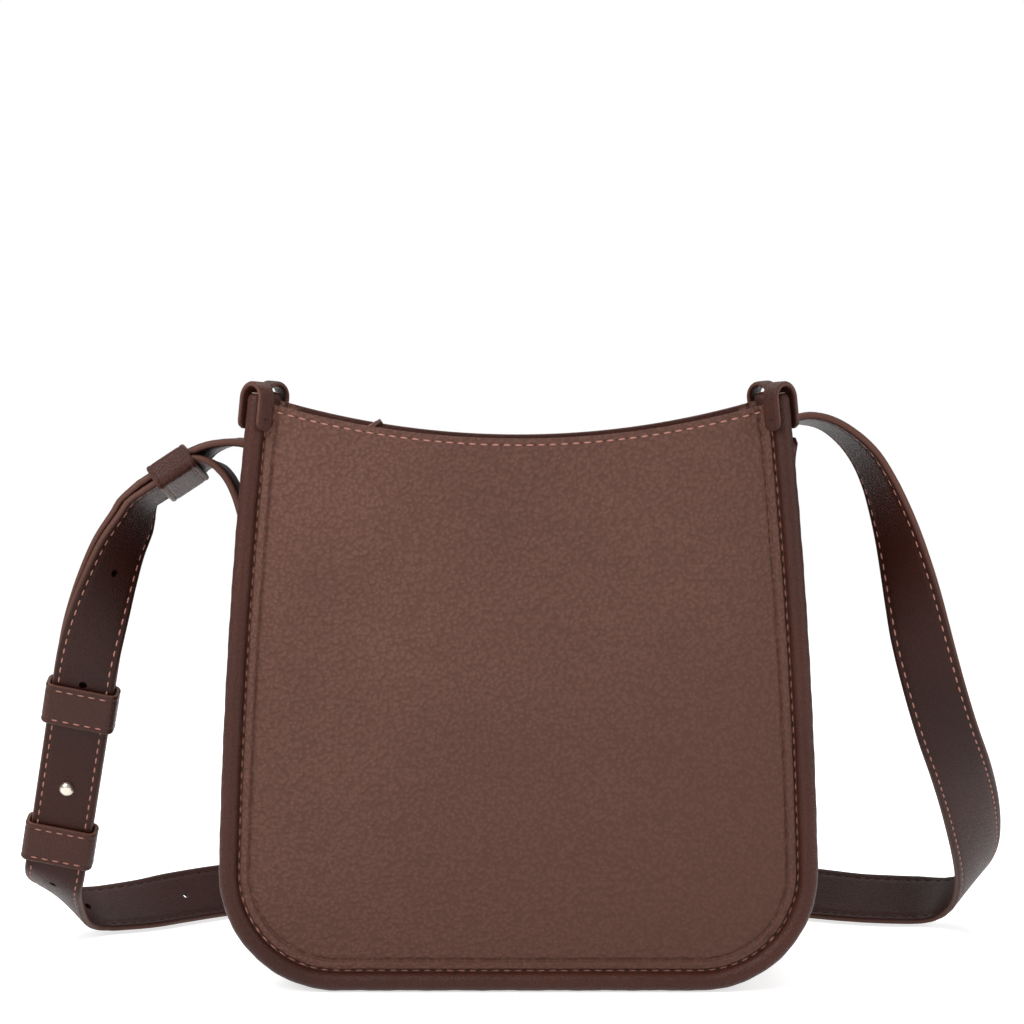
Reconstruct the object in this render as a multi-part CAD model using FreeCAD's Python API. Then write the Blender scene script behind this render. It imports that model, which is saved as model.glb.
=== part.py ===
import FreeCAD, Part
import math
import os
from FreeCAD import Matrix, Placement, Vector

# Crossbody purse with a doubled, stud-adjusted shoulder strap.
# Millimetres. +Z up, +X along the width, the front panel faces -Y.
# The origin is on the floor under the middle of the base.

# ---- bag body -------------------------------------------------------------
BASE_HALF = 73.0          # half-width of the straight part of the base
CORNER_R = 44.0           # bottom corner, at the centre of the piping
SIDE_START_DEG = 1.5      # how far the sides already lean where the corner ends
TOP_HALF = 104.2          # half-width at the ears, at the centre of the piping
EAR_Z = 241.0             # height of the ends of the piping
RIM_MID_Z = 222.8         # top edge of the panels at the middle
RIM_RISE = 14.6           # how much higher the top edge is near the ears
RIM_HALF = 100.0
SEAM_Y = 39.0             # distance of each piping from the middle plane
PIPE_R = 3.8              # piping, outside
PIPE_CORE_R = 2.3         # cord inside the piping
SEAM_GAP = 0.05           # clearance between sewn layers
SEAM_ALLOWANCE = 8.0      # width of the sewn flange inside the piping
PANEL_T = 1.8             # panel leather
FLANGE_T = 2.3            # piping flange, two layers
TURN_T = 1.6              # turned edge of the gusset
GUSSET_T = 1.8
GUSSET_HALF_LOW = 116.5   # half-width of the gusset above the bottom corner
GUSSET_CORNER_R = 43.5
GUSSET_HALF_MID = 102.0   # half-width of the crease at GUSSET_MID_Z
GUSSET_MID_Z = 145.0
GUSSET_HALF_TOP = 90.0
GUSSET_TOP_Z = 224.0
BOARD_T = 2.0
LINING_T = 0.8
FACING_T = 1.55
FACING_H = 28.0
POCKET_HALF = 58.0
POCKET_LOW_Z = 85.0
POCKET_TOP_Z = 175.0
POCKET_T = 0.7

# ---- ear tabs -------------------------------------------------------------
EAR_T = 2.2
EAR_W = 7.8
EAR_INNER_R = 4.6
EAR_LEG = 12.5
EAR_RISE = 4.6            # top of the tab above the end of the piping
EAR_LEAN_DEG = 5.5

# ---- zip ------------------------------------------------------------------
ZIP_Z = 212.0             # middle of the tapes
ZIP_LEFT = -83.5
ZIP_RIGHT = 72.0
ZIP_PANEL_T = 1.5
ZIP_PANEL_EDGE = 7.0      # distance of the panel's free edge from the middle
ZIP_HALF = 88.0           # half-length of panels and tapes
TAPE_T = 0.8
TAPE_EDGE = 15.0
TEETH_IN = 0.75           # nearest point of the teeth to the middle plane
TEETH_OUT = 2.9
TEETH_H = 2.2
TOOTH_PITCH = 2.5
STOP_L = 2.0
SLIDER_X = -76.0          # middle of the slider when the zip is closed
SLIDER_L = 9.5
SLIDER_HALF_W = 4.2
SLIDER_PLATE_T = 1.2
SLIDER_GAP = 0.3
SLIDER_NECK = 0.5         # half the thickness of the wedge between the teeth
BAIL_HOLE_R = 0.8
BAIL_RISE = 1.6           # hinge axis of the pull above the slider's top plate
LINK_R = 0.7
LINK_HALF_W = 3.2
LINK_L = 5.5
PULL_L = 18.0
PULL_W = 9.0
PULL_LEAF_T = 1.5
PULL_ANGLE_DEG = 33.0     # how steeply the pull lies, above horizontal

# ---- rings ----------------------------------------------------------------
RING_Z = 200.0            # height of the rings and of the axis the strap swings on
RING_WIRE_R = 1.5
RING_INNER_L = 27.0
RING_PITCH = 11.0         # between the centres of the two long bars
LOOP_HALF = 104.7         # where the strap runs down through each ring
TAB_T = 1.6
TAB_W = 22.0
TAB_H = 36.0
TAB_CLEAR = 0.2

# ---- strap ----------------------------------------------------------------
STRAP_W = 26.0
STRAP_T = 3.2
LAYER_GAP = 0.3
HOLE_R = 1.7
HOLE_PITCH = 50.0
STUD_HEAD_R = 3.3
STUD_RISE = 2.4
STUD_STEM_R = 1.55
STUD_PLATE_R = 4.0
STUD_PLATE_T = 1.2
KEEPER_T = 2.0
KEEPER_CLEAR = 0.35
KEEPER_L = 18.5

# The strap's centre line, from the end sewn round the right ring, over the top,
# down the right side, along the floor behind the bag and up the left side to the
# left ring. Each station is a point and the direction of the strap's width.
ROUTE = [
    ((113.4, 0.0, 222.5), (0.00, 1.00, 0.00)),
    ((112.0, 0.0, 214.0), (0.00, 1.00, 0.00)),
    ((112.0, 0.0, 192.0), (0.00, 1.00, 0.00)),
    ((110.9, 0.0, 189.4), (0.00, 1.00, 0.00)),
    ((108.3, 0.0, 188.3), (0.00, 1.00, 0.00)),
    ((105.8, 0.0, 189.4), (0.00, 1.00, 0.00)),
    ((LOOP_HALF, 0.0, 192.0), (0.00, 1.00, 0.00)),
    ((LOOP_HALF, 0.0, 217.0), (0.00, 1.00, 0.00)),
    ((106.6, 0.0, 224.0), (0.00, 1.00, 0.00)),
    ((111.3, 0.0, 228.8), (-0.01, 0.99, -0.06)),
    ((119.0, 0.0, 230.2), (-0.03, 0.99, -0.12)),
    ((127.7, 0.0, 228.1), (-0.06, 0.99, -0.15)),
    ((136.5, -0.2, 222.0), (-0.13, 0.97, -0.20)),
    ((143.7, -0.7, 213.7), (-0.24, 0.94, -0.24)),
    ((149.1, -1.4, 203.5), (-0.36, 0.91, -0.22)),
    ((153.3, -2.0, 192.5), (-0.48, 0.85, -0.21)),
    ((156.9, -2.7, 181.0), (-0.59, 0.77, -0.20)),
    ((160.1, -3.3, 168.5), (-0.71, 0.67, -0.20)),
    ((163.2, -3.6, 155.0), (-0.82, 0.53, -0.20)),
    ((166.3, -3.2, 141.0), (-0.90, 0.38, -0.20)),
    ((170.2, -1.3, 126.5), (-0.93, 0.31, -0.21)),
    ((174.9, 2.8, 111.5), (-0.94, 0.26, -0.22)),
    ((180.2, 9.5, 97.0), (-0.95, 0.20, -0.24)),
    ((186.0, 19.0, 83.5), (-0.95, 0.10, -0.28)),
    ((191.3, 31.5, 70.5), (-0.93, 0.00, -0.36)),
    ((195.8, 45.0, 58.0), (-0.88, -0.08, -0.45)),
    ((199.4, 58.5, 46.5), (-0.82, -0.17, -0.54)),
    ((201.8, 71.0, 36.8), (-0.76, -0.27, -0.58)),
    ((202.6, 83.0, 28.2), (-0.71, -0.38, -0.60)),
    ((201.6, 94.0, 20.5), (-0.62, -0.50, -0.58)),
    ((198.4, 103.0, 14.6), (-0.55, -0.60, -0.56)),
    ((192.0, 109.6, 11.1), (-0.44, -0.67, -0.60)),
    ((182.5, 112.0, 10.1), (-0.28, -0.68, -0.67)),
    ((170.0, 111.8, 10.3), (-0.17, -0.69, -0.70)),
    ((154.5, 115.6, 10.4), (-0.10, -0.70, -0.70)),
    ((134.0, 125.3, 10.9), (0.00, -0.70, -0.71)),
    ((100.0, 145.5, 11.4), (0.10, -0.68, -0.72)),
    ((58.0, 166.5, 11.2), (0.10, -0.67, -0.73)),
    ((15.0, 178.5, 10.8), (0.03, -0.67, -0.74)),
    ((-30.0, 178.8, 10.8), (-0.03, -0.67, -0.74)),
    ((-70.0, 168.0, 11.2), (-0.05, -0.66, -0.74)),
    ((-105.0, 150.0, 11.4), (0.02, -0.66, -0.75)),
    ((-135.3, 129.2, 11.4), (0.09, -0.66, -0.75)),
    ((-155.1, 111.3, 11.1), (0.13, -0.69, -0.71)),
    ((-166.3, 101.2, 10.5), (0.16, -0.71, -0.69)),
    ((-177.4, 95.0, 10.1), (0.24, -0.71, -0.66)),
    ((-186.6, 91.3, 9.9), (0.33, -0.72, -0.60)),
    ((-193.6, 84.8, 11.2), (0.42, -0.74, -0.52)),
    ((-197.4, 75.4, 14.9), (0.53, -0.74, -0.43)),
    ((-199.2, 65.0, 19.6), (0.67, -0.67, -0.34)),
    ((-200.1, 55.2, 23.8), (0.80, -0.54, -0.25)),
    ((-200.2, 47.2, 27.6), (0.88, -0.40, -0.21)),
    ((-199.6, 41.2, 31.2), (0.95, -0.20, -0.20)),
    ((-198.3, 36.4, 36.2), (0.98, 0.02, -0.20)),
    ((-179.3, 0.7, 127.1), (0.98, 0.02, -0.20)),
    ((-176.4, -2.6, 138.5), (0.94, 0.22, -0.27)),
    ((-173.0, -4.4, 150.0), (0.85, 0.41, -0.33)),
    ((-169.0, -4.8, 162.5), (0.73, 0.59, -0.35)),
    ((-164.2, -4.2, 175.5), (0.59, 0.72, -0.36)),
    ((-158.6, -2.9, 186.5), (0.43, 0.83, -0.36)),
    ((-156.2, -2.0, 192.4), (0.32, 0.89, -0.32)),
    ((-152.9, -1.2, 197.5), (0.17, 0.96, -0.22)),
    ((-132.0, 0.0, 211.3), (0.15, 0.97, -0.20)),
    ((-127.6, 0.0, 212.0), (0.08, 0.99, -0.12)),
    ((-122.6, 0.0, 209.4), (0.03, 1.00, -0.04)),
    ((-118.7, 0.0, 204.6), (0.00, 1.00, 0.00)),
    ((-115.6, 0.0, 197.6), (0.00, 1.00, 0.00)),
    ((-113.2, 0.0, 189.5), (0.00, 1.00, 0.00)),
    ((-111.4, 0.0, 184.9), (0.00, 1.00, 0.00)),
    ((-108.6, 0.0, 182.6), (0.00, 1.00, 0.00)),
    ((-105.8, 0.0, 184.2), (0.00, 1.00, 0.00)),
    ((-LOOP_HALF, 0.0, 188.0), (0.00, 1.00, 0.00)),
    ((-LOOP_HALF, 0.0, 210.0), (0.00, 1.00, 0.00)),
    ((-106.4, 0.0, 215.6), (0.00, 1.00, 0.00)),
    ((-110.6, 0.0, 219.3), (0.00, 1.00, 0.00)),
    ((-116.2, 0.0, 220.5), (0.00, 1.00, 0.00)),
    ((-122.4, 0.0, 219.6), (0.04, 1.00, -0.05)),
    ((-128.8, 0.0, 217.2), (0.10, 0.99, -0.14)),
]
LOW_STRAIGHT = 53         # station where the straight stretch with the stud begins
UPPER_STRAIGHT = 61       # station where the short straight stretch of the upper keeper begins
KEEPER_MIDDLE_AT = 0.812  # places along the straight stretch, as a share of it
KEEPER_LOWER_AT = 0.137
STUD_AT = 0.418
KEEPER_UPPER_AT = 0.63


# ---- outline of the bag ---------------------------------------------------
def point(x, z, y=0.0):
    return Vector(x, y, z)


def arc_edge(cx, cz, radius, start, end):
    """Arc in the XZ plane, angles in radians from +X towards +Z."""
    angles = (start, (start + end) / 2.0, end)
    ends = [point(cx + radius * math.cos(a), cz + radius * math.sin(a)) for a in angles]
    return Part.Arc(*ends).toShape()


def side_circle():
    """Centre, radius and end angle of the large arc of the right side."""
    start = math.radians(SIDE_START_DEG)
    cz = PIPE_R + CORNER_R
    sx = BASE_HALF + CORNER_R * math.cos(start)
    sz = cz + CORNER_R * math.sin(start)
    ex = TOP_HALF - sx
    ez = EAR_Z - sz
    nx = -math.cos(start)
    nz = -math.sin(start)
    radius = (ex * ex + ez * ez) / (2.0 * (nx * ex + nz * ez))
    ox = sx + nx * radius
    oz = sz + nz * radius
    return ox, oz, radius, math.atan2(EAR_Z - oz, TOP_HALF - ox)


def u_edges(inset):
    """The piping's centre line from the left ear round the base to the right ear."""
    ox, oz, radius, end = side_circle()
    start = math.radians(SIDE_START_DEG)
    cz = PIPE_R + CORNER_R
    left_side = arc_edge(-ox, oz, radius - inset, math.pi - end, math.pi - start)
    left_corner = arc_edge(-BASE_HALF, cz, CORNER_R - inset, math.pi - start, 1.5 * math.pi)
    base = Part.makeLine(point(-BASE_HALF, PIPE_R + inset), point(BASE_HALF, PIPE_R + inset))
    right_corner = arc_edge(BASE_HALF, cz, CORNER_R - inset, -0.5 * math.pi, start)
    right_side = arc_edge(ox, oz, radius - inset, start, end)
    return [left_side, left_corner, base, right_corner, right_side]


def prism(wire, y_low, y_high):
    """Solid between two Y planes from a closed wire in the XZ plane."""
    face = Part.Face(wire)
    face.translate(Vector(0, y_low, 0))
    return face.extrude(Vector(0, y_high - y_low, 0))


def outline_prism(inset, y_low, y_high):
    """Bag outline, inset from the piping's centre line, closed straight at the top."""
    edges = u_edges(inset)
    first = edges[0].Vertexes[0].Point
    last = edges[-1].Vertexes[-1].Point
    edges.append(Part.makeLine(last, first))
    return prism(Part.Wire(edges), y_low, y_high)


def gusset_wire(inset):
    """Outline of the gusset's crease, inset inwards."""
    low = GUSSET_HALF_LOW - inset
    corner = GUSSET_CORNER_R - inset
    cx = GUSSET_HALF_LOW - GUSSET_CORNER_R
    mid = GUSSET_HALF_MID - inset
    top = GUSSET_HALF_TOP - inset
    share_low = GUSSET_CORNER_R + 0.5 * (GUSSET_MID_Z - GUSSET_CORNER_R)
    share_high = GUSSET_MID_Z + 0.55 * (GUSSET_TOP_Z - GUSSET_MID_Z)
    bow_low = low - 0.24 * (low - mid)
    bow_high = top + 0.30 * (mid - top)
    edges = []
    for side in (-1, 1):
        edges.append(arc_edge(side * cx, GUSSET_CORNER_R, corner, -0.5 * math.pi,
                              0.0 if side > 0 else -math.pi))
        edges.append(Part.Arc(point(side * low, GUSSET_CORNER_R), point(side * bow_low, share_low),
                              point(side * mid, GUSSET_MID_Z)).toShape())
        edges.append(Part.Arc(point(side * mid, GUSSET_MID_Z), point(side * bow_high, share_high),
                              point(side * top, GUSSET_TOP_Z)).toShape())
    edges.append(Part.makeLine(point(-cx, inset), point(cx, inset)))
    edges.append(Part.makeLine(point(-top, GUSSET_TOP_Z), point(top, GUSSET_TOP_Z)))
    return Part.Wire(Part.__sortEdges__(edges))


def above_rim(drop):
    """Everything above the panels' curved top edge, lowered by drop."""
    wide = RIM_HALF * 1.6
    rise = RIM_RISE * 1.6 * 1.6
    high = EAR_Z + 60.0
    low_mid = RIM_MID_Z - drop
    rim = Part.Arc(point(-wide, low_mid + rise), point(0, low_mid), point(wide, low_mid + rise)).toShape()
    edges = [rim,
             Part.makeLine(point(wide, low_mid + rise), point(wide, high)),
             Part.makeLine(point(wide, high), point(-wide, high)),
             Part.makeLine(point(-wide, high), point(-wide, low_mid + rise))]
    return prism(Part.Wire(Part.__sortEdges__(edges)), -SEAM_Y * 2, SEAM_Y * 2)


def box(x_low, x_high, y_low, y_high, z_low, z_high):
    return Part.makeBox(x_high - x_low, y_high - y_low, z_high - z_low, Vector(x_low, y_low, z_low))


def to_back(shape):
    """The same piece on the back half of the bag."""
    return shape.mirror(Vector(0, 0, 0), Vector(0, 1, 0))


def to_right(shape):
    return shape.mirror(Vector(0, 0, 0), Vector(1, 0, 0))


# Y planes of the sewn layers on the front half
PANEL_FRONT = -SEAM_Y - 0.2
PANEL_BACK = PANEL_FRONT + PANEL_T
FLANGE_BACK = PANEL_BACK + FLANGE_T
TURN_BACK = FLANGE_BACK + TURN_T
LINING_FRONT = TURN_BACK + 0.1
FLANGE_INSET = PIPE_R + SEAM_ALLOWANCE


def panel():
    """Front panel leather, its edge butting on the piping."""
    sheet = outline_prism(PIPE_R + SEAM_GAP, PANEL_FRONT, PANEL_BACK)
    return sheet.cut(above_rim(0.0))


def pipe_tube(radius):
    """Tube of the piping along the front seam."""
    path = Part.Wire(u_edges(0.0))
    path.translate(Vector(0, -SEAM_Y, 0))
    start = path.Edges[0]
    tangent = start.tangentAt(start.FirstParameter)
    circle = Part.makeCircle(radius, start.valueAt(start.FirstParameter), tangent)
    return path.makePipeShell([Part.Wire(circle)], True, True)


def piping():
    """Leather wrapped round the cord, with the flange sewn in behind the panel."""
    outer = outline_prism(1.0, PANEL_BACK, FLANGE_BACK)
    flange = outer.cut(outline_prism(FLANGE_INSET, PANEL_BACK - 1.0, FLANGE_BACK + 1.0))
    flange = flange.cut(above_rim(0.0))
    return pipe_tube(PIPE_R).fuse(flange).cut(pipe_tube(PIPE_CORE_R)).removeSplitter()


def piping_cord():
    return pipe_tube(PIPE_CORE_R - 0.02)


def gusset():
    """One strip round both sides and the base, with its edges turned up at the seams."""
    inside = prism(gusset_wire(GUSSET_T), -SEAM_Y, SEAM_Y)
    web = prism(gusset_wire(0.0), FLANGE_BACK, -FLANGE_BACK).cut(inside)
    web = web.cut(box(-GUSSET_HALF_TOP + GUSSET_T, GUSSET_HALF_TOP - GUSSET_T, -SEAM_Y, SEAM_Y,
                      GUSSET_TOP_Z - 2.0 * GUSSET_T, GUSSET_TOP_Z + 1.0))
    shape = web
    for low in (FLANGE_BACK, -TURN_BACK):
        sheet = outline_prism(PIPE_R + SEAM_GAP, low, low + TURN_T)
        sheet = sheet.fuse(prism(gusset_wire(0.0), low, low + TURN_T))
        hollow = outline_prism(FLANGE_INSET, low - 1.0, low + TURN_T + 1.0)
        hollow = hollow.common(prism(gusset_wire(GUSSET_T), low - 1.0, low + TURN_T + 1.0))
        tall = box(-GUSSET_HALF_TOP + GUSSET_T, GUSSET_HALF_TOP - GUSSET_T, low - 1.0, low + TURN_T + 1.0,
                   GUSSET_TOP_Z - 10.0, EAR_Z + 20.0)
        shape = shape.fuse(sheet.cut(hollow).cut(tall).cut(above_rim(1.0)))
    return shape.removeSplitter()


def interlining():
    """Foam between the panel and the lining."""
    sheet = outline_prism(FLANGE_INSET + 0.1, PANEL_BACK + SEAM_GAP, TURN_BACK)
    sheet = sheet.common(prism(gusset_wire(GUSSET_T + 0.1), PANEL_FRONT, 0))
    top = RIM_MID_Z - FACING_H - 0.2
    return sheet.common(box(-200, 200, -SEAM_Y * 2, 0, 0, top))


def top_facing():
    """Leather layer that the top edge is stitched to, inside the panel."""
    sheet = outline_prism(FLANGE_INSET + 0.1, PANEL_BACK + SEAM_GAP, PANEL_BACK + SEAM_GAP + FACING_T)
    sheet = sheet.cut(above_rim(0.0))
    return sheet.common(box(-200, 200, -SEAM_Y * 2, 0, RIM_MID_Z - FACING_H, EAR_Z + 20.0))


def base_board():
    half = BASE_HALF - 1.0
    return box(-half, half, TURN_BACK + 0.1, -TURN_BACK - 0.1, GUSSET_T + SEAM_GAP, GUSSET_T + SEAM_GAP + BOARD_T)


LINING_BASE = GUSSET_T + BOARD_T + 0.15
LINING_TOP = ZIP_Z + TAPE_T / 2.0


def lining():
    """Fabric bag hanging inside, open at the top."""
    reach = 2.0 * SEAM_Y
    outer = prism(gusset_wire(GUSSET_T + 0.1), LINING_FRONT, -LINING_FRONT)
    outer = outer.common(box(-200, 200, -reach, reach, LINING_BASE, LINING_TOP))
    inner = prism(gusset_wire(GUSSET_T + 0.1 + LINING_T), LINING_FRONT + LINING_T, -LINING_FRONT - LINING_T)
    inner = inner.common(box(-200, 200, -reach, reach, LINING_BASE + LINING_T, EAR_Z))
    zip_slot = box(-ZIP_HALF - 0.2, ZIP_HALF + 0.2, -reach, reach, ZIP_Z - TAPE_T / 2.0 - 0.2, EAR_Z)
    middle = zip_slot.common(box(-200, 200, -TAPE_EDGE - 1.0, TAPE_EDGE + 1.0, 0, EAR_Z))
    return outer.cut(inner).cut(middle)


def slip_pocket():
    """Fabric patch on the inside of the back lining."""
    face = -LINING_FRONT - LINING_T - SEAM_GAP
    return box(-POCKET_HALF, POCKET_HALF, face - POCKET_T, face, POCKET_LOW_Z, POCKET_TOP_Z)


# ---- ear tabs -------------------------------------------------------------
def ear_tab():
    """Leather strip bent over the left front end of the piping."""
    outer_r = EAR_INNER_R + EAR_T
    top = EAR_Z + EAR_RISE - outer_r
    strip = Part.makeCylinder(outer_r, EAR_W, Vector(0, -EAR_W / 2.0, top), Vector(0, 1, 0))
    strip = strip.fuse(box(-outer_r, outer_r, -EAR_W / 2.0, EAR_W / 2.0, top - EAR_LEG, top))
    void = Part.makeCylinder(EAR_INNER_R, EAR_W, Vector(0, -EAR_W / 2.0, top), Vector(0, 1, 0))
    void = void.fuse(box(-EAR_INNER_R, EAR_INNER_R, -EAR_W, EAR_W, top - EAR_LEG - 1.0, top))
    strip = strip.cut(void)
    strip.rotate(Vector(0, 0, 0), Vector(0, 0, 1), -45.0)
    strip.rotate(Vector(0, 0, EAR_Z), Vector(0, 1, 0), EAR_LEAN_DEG)
    strip.translate(Vector(-TOP_HALF - 0.2, -SEAM_Y, 0))
    return strip.removeSplitter()


# ---- zip ------------------------------------------------------------------
def zip_panel():
    """Leather strip from the facing to the tape, on the front half."""
    low = ZIP_Z + TAPE_T / 2.0 + 0.1
    outer = PANEL_BACK + SEAM_GAP + FACING_T + 0.1
    return box(-ZIP_HALF, ZIP_HALF, outer, -ZIP_PANEL_EDGE, low, low + ZIP_PANEL_T)


def zip_tape():
    return box(-ZIP_HALF, ZIP_HALF, -TAPE_EDGE, -TEETH_OUT, ZIP_Z - TAPE_T / 2.0, ZIP_Z + TAPE_T / 2.0)


def zip_teeth():
    """Row of teeth on its bead, on the front tape's edge."""
    bead_in = -TEETH_OUT + 0.9
    left = ZIP_LEFT + STOP_L
    row = box(left, ZIP_RIGHT, -TEETH_OUT, bead_in, ZIP_Z - TEETH_H / 2.0, ZIP_Z + TEETH_H / 2.0)
    teeth = []
    count = int((ZIP_RIGHT - left) / TOOTH_PITCH)
    for k in range(count):
        x = left + (k + 0.3) * TOOTH_PITCH
        teeth.append(box(x, x + 1.2, bead_in - 0.05, -TEETH_IN, ZIP_Z - 0.8, ZIP_Z + 0.8))
    return row.multiFuse(teeth)


def zip_top_stops():
    """Two metal clamps, one on each tape, where the slider stops when closed."""
    stops = []
    for side in (-1, 1):
        low = min(side * TEETH_IN, side * TEETH_OUT)
        stops.append(box(ZIP_LEFT, ZIP_LEFT + STOP_L, low, low + TEETH_OUT - TEETH_IN,
                         ZIP_Z - TEETH_H / 2.0, ZIP_Z + TEETH_H / 2.0))
    return Part.makeCompound(stops)


def zip_bottom_stop():
    return box(ZIP_RIGHT, ZIP_RIGHT + STOP_L, -TEETH_OUT, TEETH_OUT, ZIP_Z - TEETH_H / 2.0, ZIP_Z + TEETH_H / 2.0)


SLIDER_TOP = ZIP_Z + TEETH_H / 2.0 + SLIDER_GAP + SLIDER_PLATE_T
PULL_AXIS_Z = SLIDER_TOP + BAIL_RISE


def zip_slider():
    """Two plates joined by the wedge, with side rails and the pull's bail."""
    half = SLIDER_L / 2.0
    low = ZIP_Z - TEETH_H / 2.0 - SLIDER_GAP
    shape = box(-half, half, -SLIDER_HALF_W, SLIDER_HALF_W, SLIDER_TOP - SLIDER_PLATE_T, SLIDER_TOP)
    parts = [box(-half, half, -SLIDER_HALF_W, SLIDER_HALF_W, low - SLIDER_PLATE_T, low),
             box(-1.5, 1.5, -SLIDER_NECK, SLIDER_NECK, low - 0.1, SLIDER_TOP - 0.1)]
    rail_in = TEETH_OUT + SLIDER_GAP
    for side in (-1, 1):
        y_low = min(side * rail_in, side * SLIDER_HALF_W)
        y_high = max(side * rail_in, side * SLIDER_HALF_W)
        parts.append(box(-half, half, y_low, y_high, ZIP_Z + TAPE_T / 2.0 + SLIDER_GAP, SLIDER_TOP - 0.1))
        parts.append(box(-half, half, y_low, y_high, low - 0.1, ZIP_Z - TAPE_T / 2.0 - SLIDER_GAP))
    bail = Part.makeCylinder(2.0, 2.0, Vector(0, -1, PULL_AXIS_Z), Vector(0, 1, 0))
    bail = bail.fuse(box(-2.0, 2.0, -1.0, 1.0, SLIDER_TOP - 0.2, PULL_AXIS_Z))
    parts.append(bail)
    shape = shape.multiFuse(parts)
    shape = shape.cut(Part.makeCylinder(BAIL_HOLE_R, 4.0, Vector(0, -2, PULL_AXIS_Z), Vector(0, 1, 0)))
    shape.translate(Vector(SLIDER_X, 0, 0))
    return shape.removeSplitter()


def turn_pull(shape):
    """From lying along +X at the hinge axis to its place on the slider."""
    shape.rotate(Vector(0, 0, 0), Vector(0, 1, 0), -PULL_ANGLE_DEG)
    shape.translate(Vector(SLIDER_X, 0, PULL_AXIS_Z))
    return shape


def pull_link():
    """Closed wire loop through the bail."""
    bars = []
    for side in (-1, 1):
        bars.append(Part.makeCylinder(LINK_R, LINK_L, Vector(0, side * LINK_HALF_W, 0), Vector(1, 0, 0)))
    for x in (0.0, LINK_L):
        bars.append(Part.makeCylinder(LINK_R, 2.0 * LINK_HALF_W, Vector(x, -LINK_HALF_W, 0), Vector(0, 1, 0)))
        for side in (-1, 1):
            bars.append(Part.makeSphere(LINK_R, Vector(x, side * LINK_HALF_W, 0)))
    return turn_pull(bars[0].multiFuse(bars[1:]))


def pull_leather():
    """Leather strip folded round the far bar of the link, both leaves sewn together."""
    inner = LINK_R + 0.1
    outer = inner + PULL_LEAF_T
    width = 2.0 * (LINK_HALF_W - LINK_R - 0.2)
    fold = Part.makeCylinder(outer, width, Vector(LINK_L, -width / 2.0, 0), Vector(0, 1, 0))
    fold = fold.cut(Part.makeCylinder(inner, width, Vector(LINK_L, -width / 2.0, 0), Vector(0, 1, 0)))
    fold = fold.cut(box(LINK_L, LINK_L + 9.0, -9.0, 9.0, -inner, inner))
    start = LINK_L + inner + 0.9
    neck = box(LINK_L, start + 1.0, -width / 2.0, width / 2.0, inner, outer)
    neck = neck.fuse(box(LINK_L, start + 1.0, -width / 2.0, width / 2.0, -outer, -inner))
    tongue = box(start, LINK_L + PULL_L, -PULL_W / 2.0, PULL_W / 2.0, -outer, outer)
    tongue = tongue.makeFillet(3.0, [e for e in tongue.Edges if abs(e.BoundBox.ZLength - 2 * outer) < 0.01
                                     and e.BoundBox.XMin > start + 1.0])
    return turn_pull(fold.multiFuse([neck, tongue]).removeSplitter())


# ---- rings ----------------------------------------------------------------
RING_OUT = LOOP_HALF + STRAP_T / 2.0 + 0.3 + RING_WIRE_R
RING_IN = RING_OUT - RING_PITCH


def strap_ring():
    """Rectangular wire ring on the left, lying level, its long bars along Y."""
    half = RING_INNER_L / 2.0 + RING_WIRE_R
    bars = []
    for x in (-RING_OUT, -RING_IN):
        bars.append(Part.makeCylinder(RING_WIRE_R, 2.0 * half, Vector(x, -half, RING_Z), Vector(0, 1, 0)))
    for side in (-1, 1):
        y = side * half
        bars.append(Part.makeCylinder(RING_WIRE_R, RING_PITCH, Vector(-RING_OUT, y, RING_Z), Vector(1, 0, 0)))
        for x in (-RING_OUT, -RING_IN):
            bars.append(Part.makeSphere(RING_WIRE_R, Vector(x, y, RING_Z)))
    return bars[0].multiFuse(bars[1:])


def ring_tab():
    """Leather tab sewn on the left of the gusset, looped round the ring's inner bar."""
    inner = RING_WIRE_R + TAB_CLEAR
    outer = inner + TAB_T
    half = TAB_W / 2.0
    gusset_x = -gusset_half_at(RING_Z + TAB_H / 2.0)
    foot_x = -gusset_half_at(RING_Z - TAB_H / 2.0)
    foot = Part.makePolygon([point(foot_x - 0.1, RING_Z - TAB_H / 2.0),
                             point(foot_x - 0.1 - TAB_T, RING_Z - TAB_H / 2.0),
                             point(foot_x - 0.1 - TAB_T, RING_Z + TAB_H / 2.0),
                             point(gusset_x - 0.1, RING_Z + TAB_H / 2.0),
                             point(foot_x - 0.1, RING_Z - TAB_H / 2.0)])
    base = prism(foot, -half, half)
    loop = Part.makeCylinder(outer, TAB_W, Vector(-RING_IN, -half, RING_Z), Vector(0, 1, 0))
    loop = loop.fuse(box(-RING_IN, foot_x - 0.2, -half, half, RING_Z - outer, RING_Z + outer))
    void = Part.makeCylinder(inner, TAB_W, Vector(-RING_IN, -half, RING_Z), Vector(0, 1, 0))
    void = void.fuse(box(-RING_IN, foot_x - 0.1 - TAB_T, -half, half, RING_Z - inner, RING_Z + inner))
    shape = base.fuse(loop).cut(void)
    return shape.cut(prism(gusset_wire(-0.1), -half - 1.0, half + 1.0)).removeSplitter()


def gusset_half_at(z):
    """Half-width of the gusset's crease at a height."""
    cutter = prism(gusset_wire(0.0), -1.0, 1.0)
    return cutter.common(box(0, 300, -2, 2, z, z + 0.01)).BoundBox.XMax


# ---- strap ----------------------------------------------------------------
def frames(route):
    """Point, travel, width and normal directions at each station."""
    result = []
    for k in range(len(route)):
        here = Vector(*route[k][0])
        before = Vector(*route[max(k - 1, 0)][0])
        after = Vector(*route[min(k + 1, len(route) - 1)][0])
        into = here - before
        out = after - here
        if into.Length > 0:
            into.normalize()
        if out.Length > 0:
            out.normalize()
        travel = into + out
        travel.normalize()
        width = Vector(*route[k][1])
        width = width - travel * width.dot(travel)
        width.normalize()
        result.append((here, travel, width, travel.cross(width)))
    return result


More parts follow.
